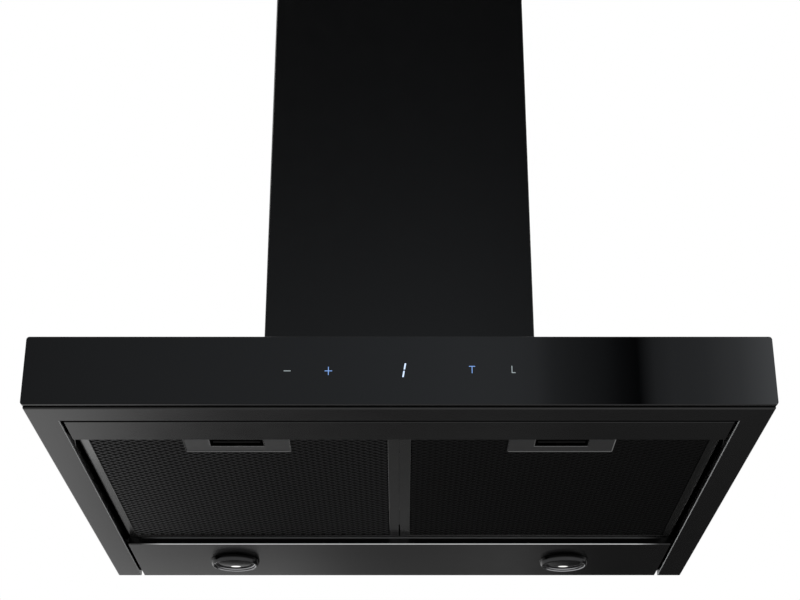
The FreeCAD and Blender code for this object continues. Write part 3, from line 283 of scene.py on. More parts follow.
def screen(name, low, high, turn, axis, bands):
    """A dark card that lets light through in bands along an axis.

    Each band is its place, and then places along X with the share of light that passes there.
    """
    card, look, across = mirror_card(name, low, high, turn)
    width = high[0] - low[0]
    along = look.along(look.place(), axis)
    light = None
    before = None
    for level, stops in bands:
        strip = look.ramp(across, [((place - low[0]) / width, share) for place, share in stops])
        if light is None:
            light = strip
        else:
            passed = look.ramp((along - before) / (level - before), [(0.0, 0.0), (1.0, 1.0)])
            light = light + (strip - light) * passed
        before = level
    dark = look.node("ShaderNodeEmission", None, {"Color": (0, 0, 0, 1), "Strength": 0.0})
    clear = look.node("ShaderNodeBsdfTransparent")
    mixed = look.node("ShaderNodeMixShader", None, {0: light, 1: dark, 2: clear})
    look.node("ShaderNodeOutputMaterial", None, {0: mixed})
    card.data.materials.append(look.owner)


# behind: what the flat underside mirrors, from its front edge in the lowest band to its rear,
# and above that what the folded edges mirror
screen_half = 3.0
screen_drop = -0.84
rear_deep = 1.6
screen("card_rear", (-screen_half, rear_deep, screen_drop), (screen_half, rear_deep, 1.2), upright, 2, [
    (-0.74, [
        (-0.95, 1.0), (-0.75, 0.72), (-0.64, 0.30), (-0.52, 0.02), (-0.33, 0.01), (0.0, 0.06), (0.7, 0.09),
    ]),
    (-0.60, [
        (-0.95, 1.0), (-0.72, 0.95), (-0.62, 0.60), (-0.50, 0.15), (-0.33, 0.05), (0.0, 0.08), (0.5, 0.04),
    ]),
    (-0.47, [
        (-0.80, 0.8), (-0.57, 0.32), (-0.30, 0.12), (0.0, 0.16), (0.10, 0.28), (0.24, 0.44), (0.38, 0.02),
    ]),
    (-0.36, [(-0.90, 1.0), (-0.25, 0.90), (-0.10, 0.30), (0.1, 0.12), (0.4, 0.05)]),
    (0.60, [(-0.90, 1.0), (-0.25, 1.00), (0.10, 0.40), (0.4, 0.10), (1.5, 0.8)]),
])
# on the floor behind: closes what the card behind leaves open below
screen("card_floor", (-screen_half, 0.3, screen_drop), (screen_half, rear_deep, screen_drop), (0, 0, 0), 1, [
    (0.30, [(-0.9, 1.0), (1.0, 1.0)]),
    (0.85, [(-0.6, 0.9), (-0.35, 0.25), (0.0, 0.10), (0.7, 0.08)]),
])
# at the left: what keeps the left edges of the glass and the chimney dark
left_low = (-3.2, -3.4, -0.8)
left_high = (-3.19, 0.6, 4.0)
screen("card_left", left_low, left_high, (0, math.pi / 2, 0), 2, [
    (left_low[2], [(left_low[0], 0.10), (left_high[0], 0.10)]),
    (left_high[2], [(left_low[0], 0.05), (left_high[0], 0.05)]),
])


# ---------------------------------------------------------------- canopy shell
# The canopy is one steel sheet, cut, folded and welded into a shallow box with a rim
# and an upturned lip round its opening, then powder coated satin black.

def block(name, low, high):
    """A box between two corners, to be shaped further."""
    bpy.ops.object.select_all(action="DESELECT")
    middle = [(a + b) / 2 for a, b in zip(low, high)]
    spans = [b - a for a, b in zip(low, high)]
    bpy.ops.mesh.primitive_cube_add(size=1, location=middle, scale=spans)
    piece = bpy.context.object
    piece.name = piece.data.name = name
    bpy.ops.object.transform_apply(location=True, rotation=True, scale=True)
    return piece


def drum(name, middle, radius, length, turn=(0, 0, 0), sides=48):
    """A round bar about a middle, to be shaped further."""
    bpy.ops.object.select_all(action="DESELECT")
    bpy.ops.mesh.primitive_cylinder_add(
        vertices=sides, radius=radius, depth=length, location=middle, rotation=turn
    )
    piece = bpy.context.object
    piece.name = piece.data.name = name
    bpy.ops.object.transform_apply(location=True, rotation=True, scale=True)
    return piece


def chosen(piece, kind, test):
    """Open a piece for editing with only the faces or edges that pass a test of place and direction."""
    if bpy.context.object and bpy.context.object.mode == "EDIT":
        bpy.ops.object.mode_set(mode="OBJECT")
    bpy.ops.object.select_all(action="DESELECT")
    piece.select_set(True)
    bpy.context.view_layer.objects.active = piece
    bpy.ops.object.mode_set(mode="EDIT")
    bpy.ops.mesh.select_mode(type=kind)
    bpy.ops.mesh.select_all(action="DESELECT")
    form = bmesh.from_edit_mesh(piece.data)
    form.normal_update()
    if kind == "FACE":
        for face in form.faces:
            face.select_set(bool(test(face.calc_center_median(), face.normal)))
    else:
        for edge in form.edges:
            first, second = (corner.co for corner in edge.verts)
            edge.select_set(bool(test((first + second) / 2, (second - first).normalized())))
    bmesh.update_edit_mesh(piece.data)


def soften(piece, radius, steps, test):
    """Round the edges that pass a test."""
    chosen(piece, "EDGE", test)
    bpy.ops.mesh.bevel(offset=radius, offset_type="OFFSET", segments=steps, profile=0.5, affect="EDGES")
    bpy.ops.object.mode_set(mode="OBJECT")


def soften_sharp(piece, radius, steps, sharpness=30, keep=None):
    """Round every edge that is sharper than an angle, but none that passes a test of place."""
    chosen(piece, "EDGE", lambda middle, way: False)
    bpy.ops.mesh.edges_select_sharp(sharpness=math.radians(sharpness))
    form = bmesh.from_edit_mesh(piece.data)
    for edge in form.edges:
        if keep and edge.select and keep((edge.verts[0].co + edge.verts[1].co) / 2):
            edge.select_set(False)
    bmesh.update_edit_mesh(piece.data)
    bpy.ops.mesh.bevel(offset=radius, offset_type="OFFSET", segments=steps, profile=0.5, affect="EDGES")
    bpy.ops.object.mode_set(mode="OBJECT")


def applied(piece, kind, **settings):
    """Add a modifier, set it and apply it."""
    bpy.ops.object.select_all(action="DESELECT")
    piece.select_set(True)
    bpy.context.view_layer.objects.active = piece
    change = piece.modifiers.new(kind.lower(), kind)
    for name, setting in settings.items():
        setattr(change, name, setting)
    bpy.ops.object.modifier_apply(modifier=change.name)


def joined(name, pieces):
    """Several meshes as one piece."""
    bpy.ops.object.select_all(action="DESELECT")
    for piece in pieces:
        piece.select_set(True)
    bpy.context.view_layer.objects.active = pieces[0]
    if len(pieces) > 1:
        bpy.ops.object.join()
    whole = bpy.context.object
    whole.name = whole.data.name = name
    return whole


def cut_away(piece, tools):
    """Take blocks and bars out of a piece."""
    tool = joined("cutting_tool", tools)
    applied(piece, "BOOLEAN", operation="DIFFERENCE", object=tool, solver="EXACT", use_self=len(tools) > 1)
    bpy.data.objects.remove(tool)


def smooth(piece, angle=40):
    """Shade bends round and flat faces flat."""
    bpy.ops.object.select_all(action="DESELECT")
    piece.select_set(True)
    bpy.context.view_layer.objects.active = piece
    bpy.ops.object.shade_smooth_by_angle(angle=math.radians(angle))
    applied(piece, "WEIGHTED_NORMAL", keep_sharp=True, weight=60)


def fitted(piece, finish, body, slot, *nodes):
    """Give a finished piece its body, hide the nodes it stands for, and give it its material if one is named.
    The slot is not used.
    """
    if finish:
        piece.data.materials.clear()
        piece.data.materials.append(finish)
    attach(piece, body)
    if nodes:
        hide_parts(*nodes)


def powder_coat(name, painted_highlight=None):
    """Satin black powder over steel, and where a mask is given, a painted highlight of pale metal along a
    fold.
    """
    look = Look(bpy.data.materials.new(name))
    place = look.place()
    cloud = look.noise(place, 60, 3)
    grain = {"Strength": 1.0, "Distance": 0.006 * mm, "Height": look.noise(place, 900, 2)}
    colour = look.blend((0.0013, 0.0013, 0.0014, 1), (0.0021, 0.0021, 0.0022, 1), cloud)
    values = {
        "Base Color": colour,
        "Roughness": cloud * 0.05 + 0.19,
        "Specular IOR Level": 0.42,
        "Normal": look.node("ShaderNodeBump", None, grain),
    }
    if painted_highlight:
        share = painted_highlight(look, place)
        values["Base Color"] = look.blend(colour, (0.84, 0.85, 0.86, 1), share)
        values["Metallic"] = share
    return look.made_of(values)


shell_low, shell_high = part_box("canopy_shell")
sheet = 1 * mm
hair = 0.01 * mm
bend = 1.4 * mm
rim_side = 24.5 * mm
rim_front = 27.6 * mm
lip_rise = 16 * mm
opening_half = shell_high.x - rim_side
opening_front = shell_low.y + rim_front
ceiling = shell_high.z - sheet
shell = block("canopy_body", shell_low, shell_high)
soften_sharp(shell, bend, 4)
past = 4 * mm
lip_outer = opening_half + sheet
inner_half = shell_high.x - sheet
inner_front = shell_low.y + sheet
window_half = 110 * mm
window_low = 14.5 * mm
window_high = 44.5 * mm
intake_half = 95 * mm
intake_deep = (-222 * mm, -38 * mm)
notch_inner = 270.3 * mm
notch_rise = 6 * mm
wall_hole_x = 200 * mm
wall_hole_z = 30 * mm
wall_hole_radius = 2.5 * mm
hollows = [
    ((-opening_half, opening_front, -past), (opening_half, -sheet, ceiling)),
    ((-inner_half, inner_front, lip_rise), (inner_half, -sheet, ceiling)),
    ((-inner_half, inner_front, sheet), (-lip_outer, -sheet, ceiling)),
    ((lip_outer, inner_front, sheet), (inner_half, -sheet, ceiling)),
    ((-inner_half, inner_front, sheet), (inner_half, opening_front - sheet, ceiling)),
    ((-window_half, shell_low.y - past, window_low), (window_half, shell_low.y + past, window_high)),
    ((-intake_half, intake_deep[0], ceiling - past), (intake_half, intake_deep[1], ceiling + past)),
    ((-opening_half, -past, -past), (-notch_inner, past, notch_rise)),
    ((notch_inner, -past, -past), (opening_half, past, notch_rise)),
]
tools = [block("tool", low, high) for low, high in hollows]
for side in (-1, 1):
    hole_middle = (side * wall_hole_x, 0, wall_hole_z)
    tools.append(drum("tool", hole_middle, wall_hole_radius, 2 * past, (math.pi / 2, 0, 0)))
cut_away(shell, tools)


def lip_fold(middle, way):
    """The edges where the rim turns up into the lip."""
    at_side = abs(abs(middle.x) - opening_half) < hair and abs(way.y) > 0.9
    at_front = abs(middle.y - opening_front) < hair and abs(way.x) > 0.9
    return abs(middle.z) < hair and (at_side or at_front)


lip_bend = 0.8 * mm
soften(shell, lip_bend, 3, lip_fold)
smooth(shell)


def painted_lip_highlight(look, place):
    """A painted highlight along the fold of the lip on both sides of the opening, stronger on the right."""
    inward = look.along(place, 0).size() - opening_half
    near = look.ramp(inward / (2 * mm) + 0.5, [(0.4, 0.0), (0.46, 1.0), (0.80, 1.0), (0.90, 0.0)])
    low = look.ramp(look.along(place, 2) / (2 * mm), [(0.0, 1.0), (0.35, 0.9), (0.5, 0.0)])
    behind = look.along(place, 1).above(opening_front)
    highlight_share = look.noise(place, 70, 2) * 0.3 + 0.32 + look.along(place, 0).above(0.0) * 0.25
    return near * low * behind * highlight_share


black_coat = powder_coat("satin_black_coat")
# the canopy's coat carries a painted highlight along the lip's fold
shell_coat = powder_coat("satin_black_coat_of_canopy", painted_lip_highlight)
fitted(shell, shell_coat, "canopy", "black_coat", "canopy_shell")


# ---------------------------------------------------------------- front rail and lamp panel
# Two folded strips close the opening before and behind the filters. Each is bent up
# along its long edges and riveted by an ear at each end to the lip of the canopy.

def everything(middle, way):
    """The test that every face passes."""
    return True


def folded_strip(name, front, rear, front_rise, rear_rise, fold):
    """The outer face of a flat strip between the notches, with its long edges bent up."""
    strip = block(name, (-notch_inner, front, 0), (notch_inner, rear, sheet))
    chosen(strip, "FACE", lambda middle, way: way.z > -0.5)
    bpy.ops.mesh.delete(type="FACE")
    for deep, rise in ((front, front_rise), (rear, rear_rise)):
        chosen(strip, "EDGE", lambda middle, way: abs(middle.y - deep) < hair and middle.z < hair)
        bpy.ops.mesh.extrude_region_move(TRANSFORM_OT_translate={"value": (0, 0, rise)})
        bpy.ops.object.mode_set(mode="OBJECT")
    soften_sharp(strip, fold, 4)
    chosen(strip, "FACE", everything)
    bpy.ops.mesh.normals_make_consistent(inside=False)
    bpy.ops.object.mode_set(mode="OBJECT")
    return strip


def facing_down(strip):
    """Turn a strip's faces so that its flat looks down."""
    flat = max(strip.data.polygons, key=lambda face: face.area)
    if flat.normal.z > 0:
        strip.data.flip_normals()


ear_inset = 12 * mm
ear_width = 24 * mm
ear_lift = 0.4 * mm
ear_step = 9 * mm
cut_edge = 0.2 * mm


def ear(front, side):
    """The bent tab at a strip's end that reaches the lip."""
    spans = [
        (notch_inner - sheet, notch_inner, ear_lift, ear_step + sheet),
        (notch_inner - sheet, opening_half, ear_step, ear_step + sheet),
        (opening_half - sheet, opening_half, ear_step, lip_rise),
    ]
    tabs = []
    for inner, outer, bottom, top in spans:
        edges = sorted((side * inner, side * outer))
        tabs.append(block("ear", (edges[0], front, bottom), (edges[1], front + ear_width, top)))
    return tabs


def panel(name, front, rear, front_rise, rear_rise, fold):
    """A folded strip of full thickness, with softened cut edges and an ear at each end."""
    strip = folded_strip(name, front, rear, front_rise, rear_rise, fold)
    facing_down(strip)
    applied(strip, "SOLIDIFY", thickness=sheet, offset=-1, use_even_offset=True)
    soften_sharp(strip, cut_edge, 2, 60)
    ears = [tab for side in (-1, 1) for tab in ear(front + ear_inset, side)]
    return joined(name, [strip, *ears])


rail_low, rail_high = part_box("front_rail")
rail_front_rise = 14 * mm
rail_rear_rise = 6 * mm
rail_fold = 0.5 * mm
rail = panel("wiring_rail", rail_low.y, rail_high.y, rail_front_rise, rail_rear_rise, rail_fold)
smooth(rail)
fitted(rail, black_coat, "canopy", "black_coat", "front_rail")

panel_low, panel_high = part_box("lamp_panel")
panel_front_rise = 7.7 * mm
panel_rear_rise = 14 * mm
panel_fold = 1.2 * mm
lamp_panel = panel("lamp_carrier", panel_low.y, panel_high.y, panel_front_rise, panel_rear_rise, panel_fold)
lamp_low, lamp_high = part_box("lamp_bezel_right")
lamp_x = (lamp_low.x + lamp_high.x) / 2
lamp_y = (lamp_low.y + lamp_high.y) / 2
hole_radius = 23.5 * mm
holes = [drum("tool", (side * lamp_x, lamp_y, 0), hole_radius, 2 * past, sides=64) for side in (-1, 1)]
cut_away(lamp_panel, holes)
smooth(lamp_panel)


def painted_fold_highlight(look, place):
    """A painted highlight along the lower bend of the front fold and a fainter one near its top, but not at
    the fold's ends.
    """
    near = look.ramp((look.along(place, 1) - panel_low.y) / (2 * mm), [(0.0, 1.0), (0.26, 1.0), (0.33, 0.0)])
    ends = look.ramp(look.along(place, 0).size() / (270 * mm), [(0.0, 1.0), (0.88, 1.0), (0.96, 0.0)])
    low = look.ramp(look.along(place, 2) / (2 * mm), [(0.0, 1.0), (0.34, 1.0), (0.42, 0.0)])
    top = look.ramp(look.along(place, 2) / (8 * mm), [(0.74, 0.0), (0.78, 0.14), (0.95, 0.14), (1.0, 0.05)])
    return near * ends * (low + top)


# the panel's coat carries painted highlights along its front fold
panel_coat = powder_coat("satin_black_coat_of_panel", painted_fold_highlight)
fitted(lamp_panel, panel_coat, "canopy", "black_coat", "lamp_panel")

# ---------------------------------------------------------------- glass front
# A pane of tempered glass, 4 mm thick and black on its back, with ground and polished
# edges. Foam tape holds it to the canopy's front.

def surface(name, tones, roughness, pattern, relief=None, height=0.0, metallic=0.0, others=None):
    """A material between two tones and two roughnesses that follow one pattern, with a relief of its own."""
    look = Look(bpy.data.materials.new(name))
    place = look.place()
    share = pattern(look, place)
    values = {
        "Base Color": look.blend((*tones[0], 1), (*tones[1], 1), share),
        "Roughness": share * (roughness[1] - roughness[0]) + roughness[0],
        "Metallic": metallic,
    }
    values.update(others or {})
    if relief:
        steps = {"Strength": 1.0, "Distance": height, "Height": relief(look, place)}
        values["Normal"] = look.node("ShaderNodeBump", None, steps)
    return look.made_of(values)


black_glass = surface(
    "black_glass",
    ((0.0006, 0.0007, 0.0009), (0.0010, 0.0011, 0.0014)),
    (0.012, 0.03),
    lambda look, place: look.noise(place, 9, 2),
    others={"IOR": 1.5},
)
glass_low, glass_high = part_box("glass_panel")
print_gap = 0.1 * mm
glass = block("front_glass", (glass_low.x, glass_low.y + print_gap, glass_low.z), glass_high)
glass_corner = 2.5 * mm
soften(glass, glass_corner, 8, lambda middle, way: abs(way.y) > 0.9)
arris = 0.35 * mm
soften_sharp(glass, arris, 3, 50)
smooth(glass, 50)
fitted(glass, black_glass, "canopy", "black_glass", "glass_panel")

foam = surface(
    "foam_tape",
    ((0.012, 0.012, 0.012), (0.03, 0.03, 0.03)),
    (0.85, 0.97),
    lambda look, place: look.noise(place, 1800, 3),
    lambda look, place: look.noise(place, 2500, 2),
    0.15 * mm,
)


def clad(finish, *nodes):
    """Give solids that stay as they are a material."""
    for node in nodes:
        frame["nodes"][node].data.materials.clear()
        frame["nodes"][node].data.materials.append(finish)


clad(foam, "glass_tape")

# ---------------------------------------------------------------- touch keys
# The glass is clear in five small places, and lamps behind them draw a minus, a plus,
# the fan's step and two keys in thin lines of cold light.

key_rise = 29.5 * mm
mark_deep = (glass_low.y, glass_low.y + print_gap)
line_end = 0.25 * mm


def glow_finish(name, colour, strength):
    """A lit mark whose light is slightly uneven."""
    look = Look(bpy.data.materials.new(name))
    share = look.noise(look.place(), 500, 1)
    tone = look.blend((*colour, 1), tuple(c * 0.75 for c in colour) + (1,), share)
    values = {
        "Base Color": (0.01, 0.01, 0.012, 1),
        "Roughness": 0.3,
        "Emission Color": tone,
        "Emission Strength": strength,
    }
    return look.made_of(values)


def mark(name, bars, finish, slant=0.0):
    """A key's sign made of bars, each from one corner to another in millimetres about the key's middle."""
    pieces = []
    for left, bottom, right, top in bars:
        low = (left * mm, mark_deep[0], key_rise + bottom * mm)
        high = (right * mm, mark_deep[1], key_rise + top * mm)
        bar = block(name, low, high)
        soften(bar, line_end, 3, lambda middle, way: abs(way.y) > 0.9)
        pieces.append(bar)
    sign = joined(name, pieces)
    for corner in sign.data.vertices:
        corner.co.x += slant * (corner.co.z - key_rise)
    smooth(sign)
    fitted(sign, finish, "canopy", "clear_guide")


pale_light = glow_finish("pale_light", (0.50, 0.58, 0.60), 0.85)
blue_light = glow_finish("blue_light", (0.26, 0.48, 1.0), 1.0)
digit_light = glow_finish("digit_light", (0.62, 0.76, 1.0), 1.4)
mark("mark_minus", [(-91.9, 0.5, -86.2, 1.1)], pale_light)
mark("mark_plus", [(-59.3, 0.5, -53.3, 1.1), (-56.6, -2.8, -56.0, 4.3)], blue_light)
digit_slant = 0.17
mark("mark_step", [(3.1, -4.5, 4.3, 0.8), (3.1, 2.0, 4.3, 7.3)], digit_light, digit_slant)
mark("mark_timer", [(55.4, 4.4, 60.4, 5.0), (57.6, -1.2, 58.2, 5.0)], blue_light)
mark("mark_light", [(89.3, -1.0, 89.9, 5.2), (89.3, -1.0, 92.4, -0.4)], pale_light)

# ---------------------------------------------------------------- grease filters
# Each filter is a channel frame, mitred at its corners, round a pad of expanded metal,
# all coated black. A moulded handle with a sprung latch is set in its front bar.

outer_bar = 261 * mm
filter_front = -420 * mm


def painted_bar_light(look, place):
    """A painted highlight on the outer bar at the left, strongest at its front; painted shade on the outer
    bar at the right, left at the darkest tone; an uneven tone elsewhere.
    """
    across = look.along(place, 0)
    at_left = (across * -1).above(outer_bar)
    at_right = across.above(outer_bar)
    stops = [(0.28, 0.0), (0.75, 0.45), (0.90, 0.95), (1.0, 1.0)]
    highlight_share = look.ramp(look.along(place, 1) / filter_front, stops)
    # elsewhere an uneven tone, but none on the outer bar at the right: painted shade there
    even = (look.noise(place, 80, 3) * 0.10 + 0.20) * (1.0 - at_right)
    return even + at_left * (highlight_share - even)


def painted_pad_light(look, place):
    """Painted light on the pads: brightest at the left, darkest at the right."""
    across = look.along(place, 0) / (540 * mm) + 0.5
    share = look.ramp(across, [
        (0.02, 0.87), (0.13, 0.51), (0.31, 0.35), (0.49, 0.39), (0.51, 0.15), (0.98, 0.02),
    ])
    return share * (look.noise(place, 300, 2) * 0.4 + 0.8)


# the frames' coat: pale where the painted highlight lies, darkest where the painted shade lies
filter_coat = surface(
    "filter_coat",
    ((0.03, 0.03, 0.029), (0.27, 0.27, 0.268)),
    (0.22, 0.28),
    painted_bar_light,
    lambda look, place: look.noise(place, 300, 2),
    0.002 * mm,
    metallic=0.9,
)
# the pads' coat gets lighter towards the left as painted light
mesh_coat = surface(
    "mesh_coat",
    ((0.002, 0.002, 0.002), (0.058, 0.058, 0.059)),
    (0.30, 0.36),
    painted_pad_light,
    metallic=1.0,
)
# pale metal on the handle's edges: a painted highlight
edge_highlight_paint = surface(
    "painted_edge_highlight",
    ((0.10, 0.10, 0.10), (0.15, 0.15, 0.15)),
    (0.22, 0.32),
    lambda look, place: look.noise(place, 300, 2),
    metallic=1.0,
)
# a solid sheet for the inner mesh layers: black as their coat, and darker and duller still as painted shade
# within the pad
pad_layers_in_shade = surface(
    "inner_mesh_layers_in_painted_shade",
    ((0.0008, 0.0008, 0.0008), (0.0030, 0.0030, 0.0030)),
    (0.8, 0.95),
    lambda look, place: look.noise(place, 400, 3),
    others={"Specular IOR Level": 0.08},
)
handle_plastic = surface(
    "moulded_black",
    ((0.014, 0.014, 0.0145), (0.020, 0.020, 0.0205)),
    (0.36, 0.46),
    lambda look, place: look.noise(place, 150, 3),
    lambda look, place: look.noise(place, 1600, 2),
    0.012 * mm,
)
# near black for the inside of the cup and the latches in it: painted shade
painted_cup_shade = surface(
    "painted_shade_in_cup",
    ((0.0006, 0.0006, 0.0006), (0.0012, 0.0012, 0.0012)),
    (0.7, 0.9),
    lambda look, place: look.noise(place, 200, 2),
    others={"Specular IOR Level": 0.1},
)
bar_width = 10 * mm
bar_bend = 0.8 * mm
outer_bend = 4.2 * mm
mitre_half = 0.12 * mm
mitre_sink = 0.25 * mm
seam_half = 0.05 * mm
slit_half = 0.6 * mm
slit_long = 44 * mm
tongue_half = 10 * mm
tongue_bottom = 12 * mm
tongue_top = 14 * mm
tongue_room = 0.3 * mm


def filter_frame(side):
    """Four channel bars round a window, with a slot for the latch and a slit at the seam's rear."""
    low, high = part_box(f"filter_frame_{side}")
    low.x = seam_half if side == "right" else low.x
    high.x = -seam_half if side == "left" else high.x
    whole = block(f"frame_of_{side}_filter", low, high)
    chosen(whole, "FACE", lambda middle, way: abs(way.z) > 0.9)
    bpy.ops.mesh.inset(thickness=bar_width, use_individual=True)
    bpy.ops.mesh.bridge_edge_loops()
    bpy.ops.object.mode_set(mode="OBJECT")
    inner = (low.x + bar_width, high.x - bar_width, low.y + bar_width, high.y - bar_width)
    near_face = low.z + 0.1 * mm

    def mitre(middle, way):
        return middle.z < near_face and abs(abs(way.x) - abs(way.y)) < 0.1

    chosen(whole, "EDGE", mitre)
    bpy.ops.mesh.bevel(offset=mitre_half, segments=2, profile=0.5, affect="EDGES")
    bpy.ops.object.mode_set(mode="OBJECT")
    for corner in whole.data.vertices:
        near_x = min(abs(corner.co.x - edge) for edge in (low.x, high.x, inner[0], inner[1]))
        near_y = min(abs(corner.co.y - edge) for edge in (low.y, high.y, inner[2], inner[3]))
        if corner.co.z < near_face and near_x < hair and near_y < hair:
            corner.co.z += mitre_sink
    outer = low.x if side == "left" else high.x
    soften(whole, outer_bend, 6, lambda middle, way: (
        abs(middle.x - outer) < 0.1 * mm and middle.z < low.z + mm and abs(way.y) > 0.9
    ))
    soften_sharp(whole, bar_bend, 3, 60, lambda middle: abs(middle.x) < mm)
    latch_low, latch_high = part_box(f"filter_latch_{side}")
    middle = (latch_low.x + latch_high.x) / 2
    reach = tongue_half + tongue_room
    slot_low = (middle - reach, low.y - sheet, tongue_bottom - tongue_room)
    slot_high = (middle + reach, inner[2] + sheet, tongue_top + tongue_room)
    slit_low = (-slit_half, high.y - slit_long, low.z - sheet)
    slit_high = (slit_half, high.y + sheet, high.z + sheet)
    cut_away(whole, [block("tool", slot_low, slot_high), block("tool", slit_low, slit_high)])
    smooth(whole)
    fitted(whole, filter_coat, f"{side}_filter", "filter_coat", f"filter_frame_{side}")
    return inner


def copied(piece, name):
    """The same shape once more, with a mesh of its own."""
    twin = piece.copy()
    twin.data = piece.data.copy()
    twin.name = twin.data.name = name
    bpy.context.scene.collection.objects.link(twin)
    return twin


cell_long = 10 * mm
cell_short = 7.4 * mm
strand_width = 0.75 * mm
strand_thick = 0.3 * mm
strand_lean = math.radians(-45)
strand_flat = math.radians(-8)
net_rise = 8.6 * mm
slot_half = 22.5 * mm
cup_wall = 2 * mm


def expanded_mesh(side, inner, handle_low, handle_high):
    """The front sheet of the pad: slit and stretched metal, a net of leaning strands, open over the cup."""
    turn = math.atan2(cell_short, cell_long)
    reach = math.hypot(cell_long, cell_short) / 2 + strand_thick
    rows = []
    for lean, way in ((strand_lean, 1), (strand_flat, -1)):
        bpy.ops.object.select_all(action="DESELECT")
        bpy.ops.mesh.primitive_cube_add(
            size=1, scale=(reach, strand_width, strand_thick), rotation=(lean, 0, 0)
        )
        strand = bpy.context.object
        bpy.ops.object.transform_apply(location=False, rotation=True, scale=True)
        strand.rotation_euler.z = way * turn
        strand.location = (cell_long * (2 - way) / 4, cell_short / 4, 0)
        bpy.ops.object.transform_apply(location=True, rotation=True, scale=True)
        twin = copied(strand, "strand")
        twin.data.transform(Matrix.Translation((way * cell_long / 2, cell_short / 2, 0)))
        rows += [strand, twin]
    net = joined(f"net_of_{side}_filter", rows)
    across = math.ceil((inner[1] - inner[0]) / cell_long)
    along = math.ceil((inner[3] - inner[2]) / cell_short)
    for count, step in ((across, (cell_long, 0, 0)), (along, (0, cell_short, 0))):
        applied(
            net, "ARRAY", count=count, use_relative_offset=False, use_constant_offset=True,
            constant_offset_displace=step,
        )
    start_x = (inner[0] + inner[1] - across * cell_long) / 2
    start_y = (inner[2] + inner[3] - along * cell_short) / 2
    net.location = (start_x, start_y, net_rise)
    bpy.ops.object.transform_apply(location=True, rotation=True, scale=True)
    cup_middle = (handle_low.x + handle_high.x) / 2
    cup_half = slot_half + cup_wall

    def over_cup(middle, way):
        return abs(middle.x - cup_middle) < cup_half and middle.y < handle_high.y

    chosen(net, "FACE", over_cup)
    bpy.ops.mesh.delete(type="FACE")
    bpy.ops.object.mode_set(mode="OBJECT")
    fitted(net, mesh_coat, f"{side}_filter", "filter_mesh")


def split(piece, place, normal):
    """Cut every face of a piece along a plane."""
    chosen(piece, "FACE", everything)
    bpy.ops.mesh.bisect(plane_co=place, plane_no=normal)
    bpy.ops.object.mode_set(mode="OBJECT")


slot_inset = 9.4 * mm
slot_deep = 22.4 * mm
plate_corner = 2.5 * mm
plate_rim = 0.4 * mm
plate_hollow = 0.5 * mm
plate_edge = 0.12 * mm
highlight_width = 0.45 * mm
cup_edge = 0.25 * mm


def handle(side, low, high):
    """A thin plate with a finger slot, over a cup let into the pad."""
    middle = (low.x + high.x) / 2
    plate = block(f"handle_of_{side}_filter", low, (high.x, high.y, low.z + sheet))
    slot_front = low.y + slot_inset
    slot_rear = slot_front + slot_deep
    for across in (middle - slot_half, middle + slot_half):
        split(plate, (across, 0, 0), (1, 0, 0))
    for deep in (slot_front, slot_rear):
        split(plate, (0, deep, 0), (0, 1, 0))

    def over_slot(place, way):
        inside = abs(place.x - middle) < slot_half and slot_front < place.y < slot_rear
        return inside and abs(way.z) > 0.9

    chosen(plate, "FACE", over_slot)
    bpy.ops.mesh.bridge_edge_loops()
    bpy.ops.object.mode_set(mode="OBJECT")
    soften(plate, plate_corner, 6, lambda place, way: (
        abs(way.z) > 0.9 and place.y > high.y - 0.1 * mm and abs(place.x - middle) > slot_half + mm
    ))
    chosen(plate, "FACE", lambda place, way: way.z < -0.9)
    bpy.ops.mesh.inset(thickness=plate_rim)
    bpy.ops.mesh.inset(thickness=plate_hollow, depth=-plate_hollow)
    bpy.ops.object.mode_set(mode="OBJECT")
    plate.data.materials.append(handle_plastic)
    plate.data.materials.append(edge_highlight_paint)
    # the slanted edges of the hollow and the slot's rear edge get the painted highlight
    chosen(plate, "FACE", lambda place, way: -0.9 < way.z < -0.5)
    plate.active_material_index = 1
    bpy.ops.object.material_slot_assign()
    chosen(plate, "EDGE", lambda place, way: (
        abs(place.y - slot_rear) < hair and place.z < low.z + plate_hollow + hair and abs(way.x) > 0.9
    ))
    bpy.ops.mesh.bevel(offset=highlight_width, segments=1, material=1, affect="EDGES")
    bpy.ops.object.mode_set(mode="OBJECT")
    soften_sharp(plate, plate_edge, 2, 50)
    cup_low = (middle - slot_half - cup_wall, low.y + bar_width, low.z + sheet)
    cup_high = (middle + slot_half + cup_wall, high.y, high.z)
    cup = block("cup", cup_low, cup_high)
    chosen(cup, "FACE", lambda place, way: way.z < -0.9)
    bpy.ops.mesh.inset(thickness=cup_wall)
    bpy.ops.mesh.extrude_region_move(TRANSFORM_OT_translate={"value": (0, 0, high.z - low.z - 2 * sheet)})
    bpy.ops.object.mode_set(mode="OBJECT")
    soften_sharp(cup, cup_edge, 2, 50)
    # painted shade inside the cup
    cup.data.materials.append(painted_cup_shade)
    whole = joined(f"handle_of_{side}_filter", [plate, cup])
    smooth(whole)
    fitted(whole, None, f"{side}_filter", "black_plastic", f"filter_handle_{side}")


for side in ("left", "right"):
    window = filter_frame(side)
    handle_low, handle_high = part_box(f"filter_handle_{side}")
    expanded_mesh(side, window, handle_low, handle_high)
    handle(side, handle_low, handle_high)

# ---------------------------------------------------------------- lamps
# Each lamp is a turned bezel of black chrome, stepped towards a smoky lens, with
# a cast heat sink above the panel that two spring strips press down on.

bezel_radius = 25 * mm


def from_lamp(look, place, behind=0.0, flatness=1.0):
    """How far a place is from the middle of the nearer lamp, or from a flattened spot behind it."""
    across = (look.along(place, 0).size() - lamp_x) ** 2
    deep = ((look.along(place, 1) - lamp_y - behind) * flatness) ** 2
    return (across + deep) ** 0.5


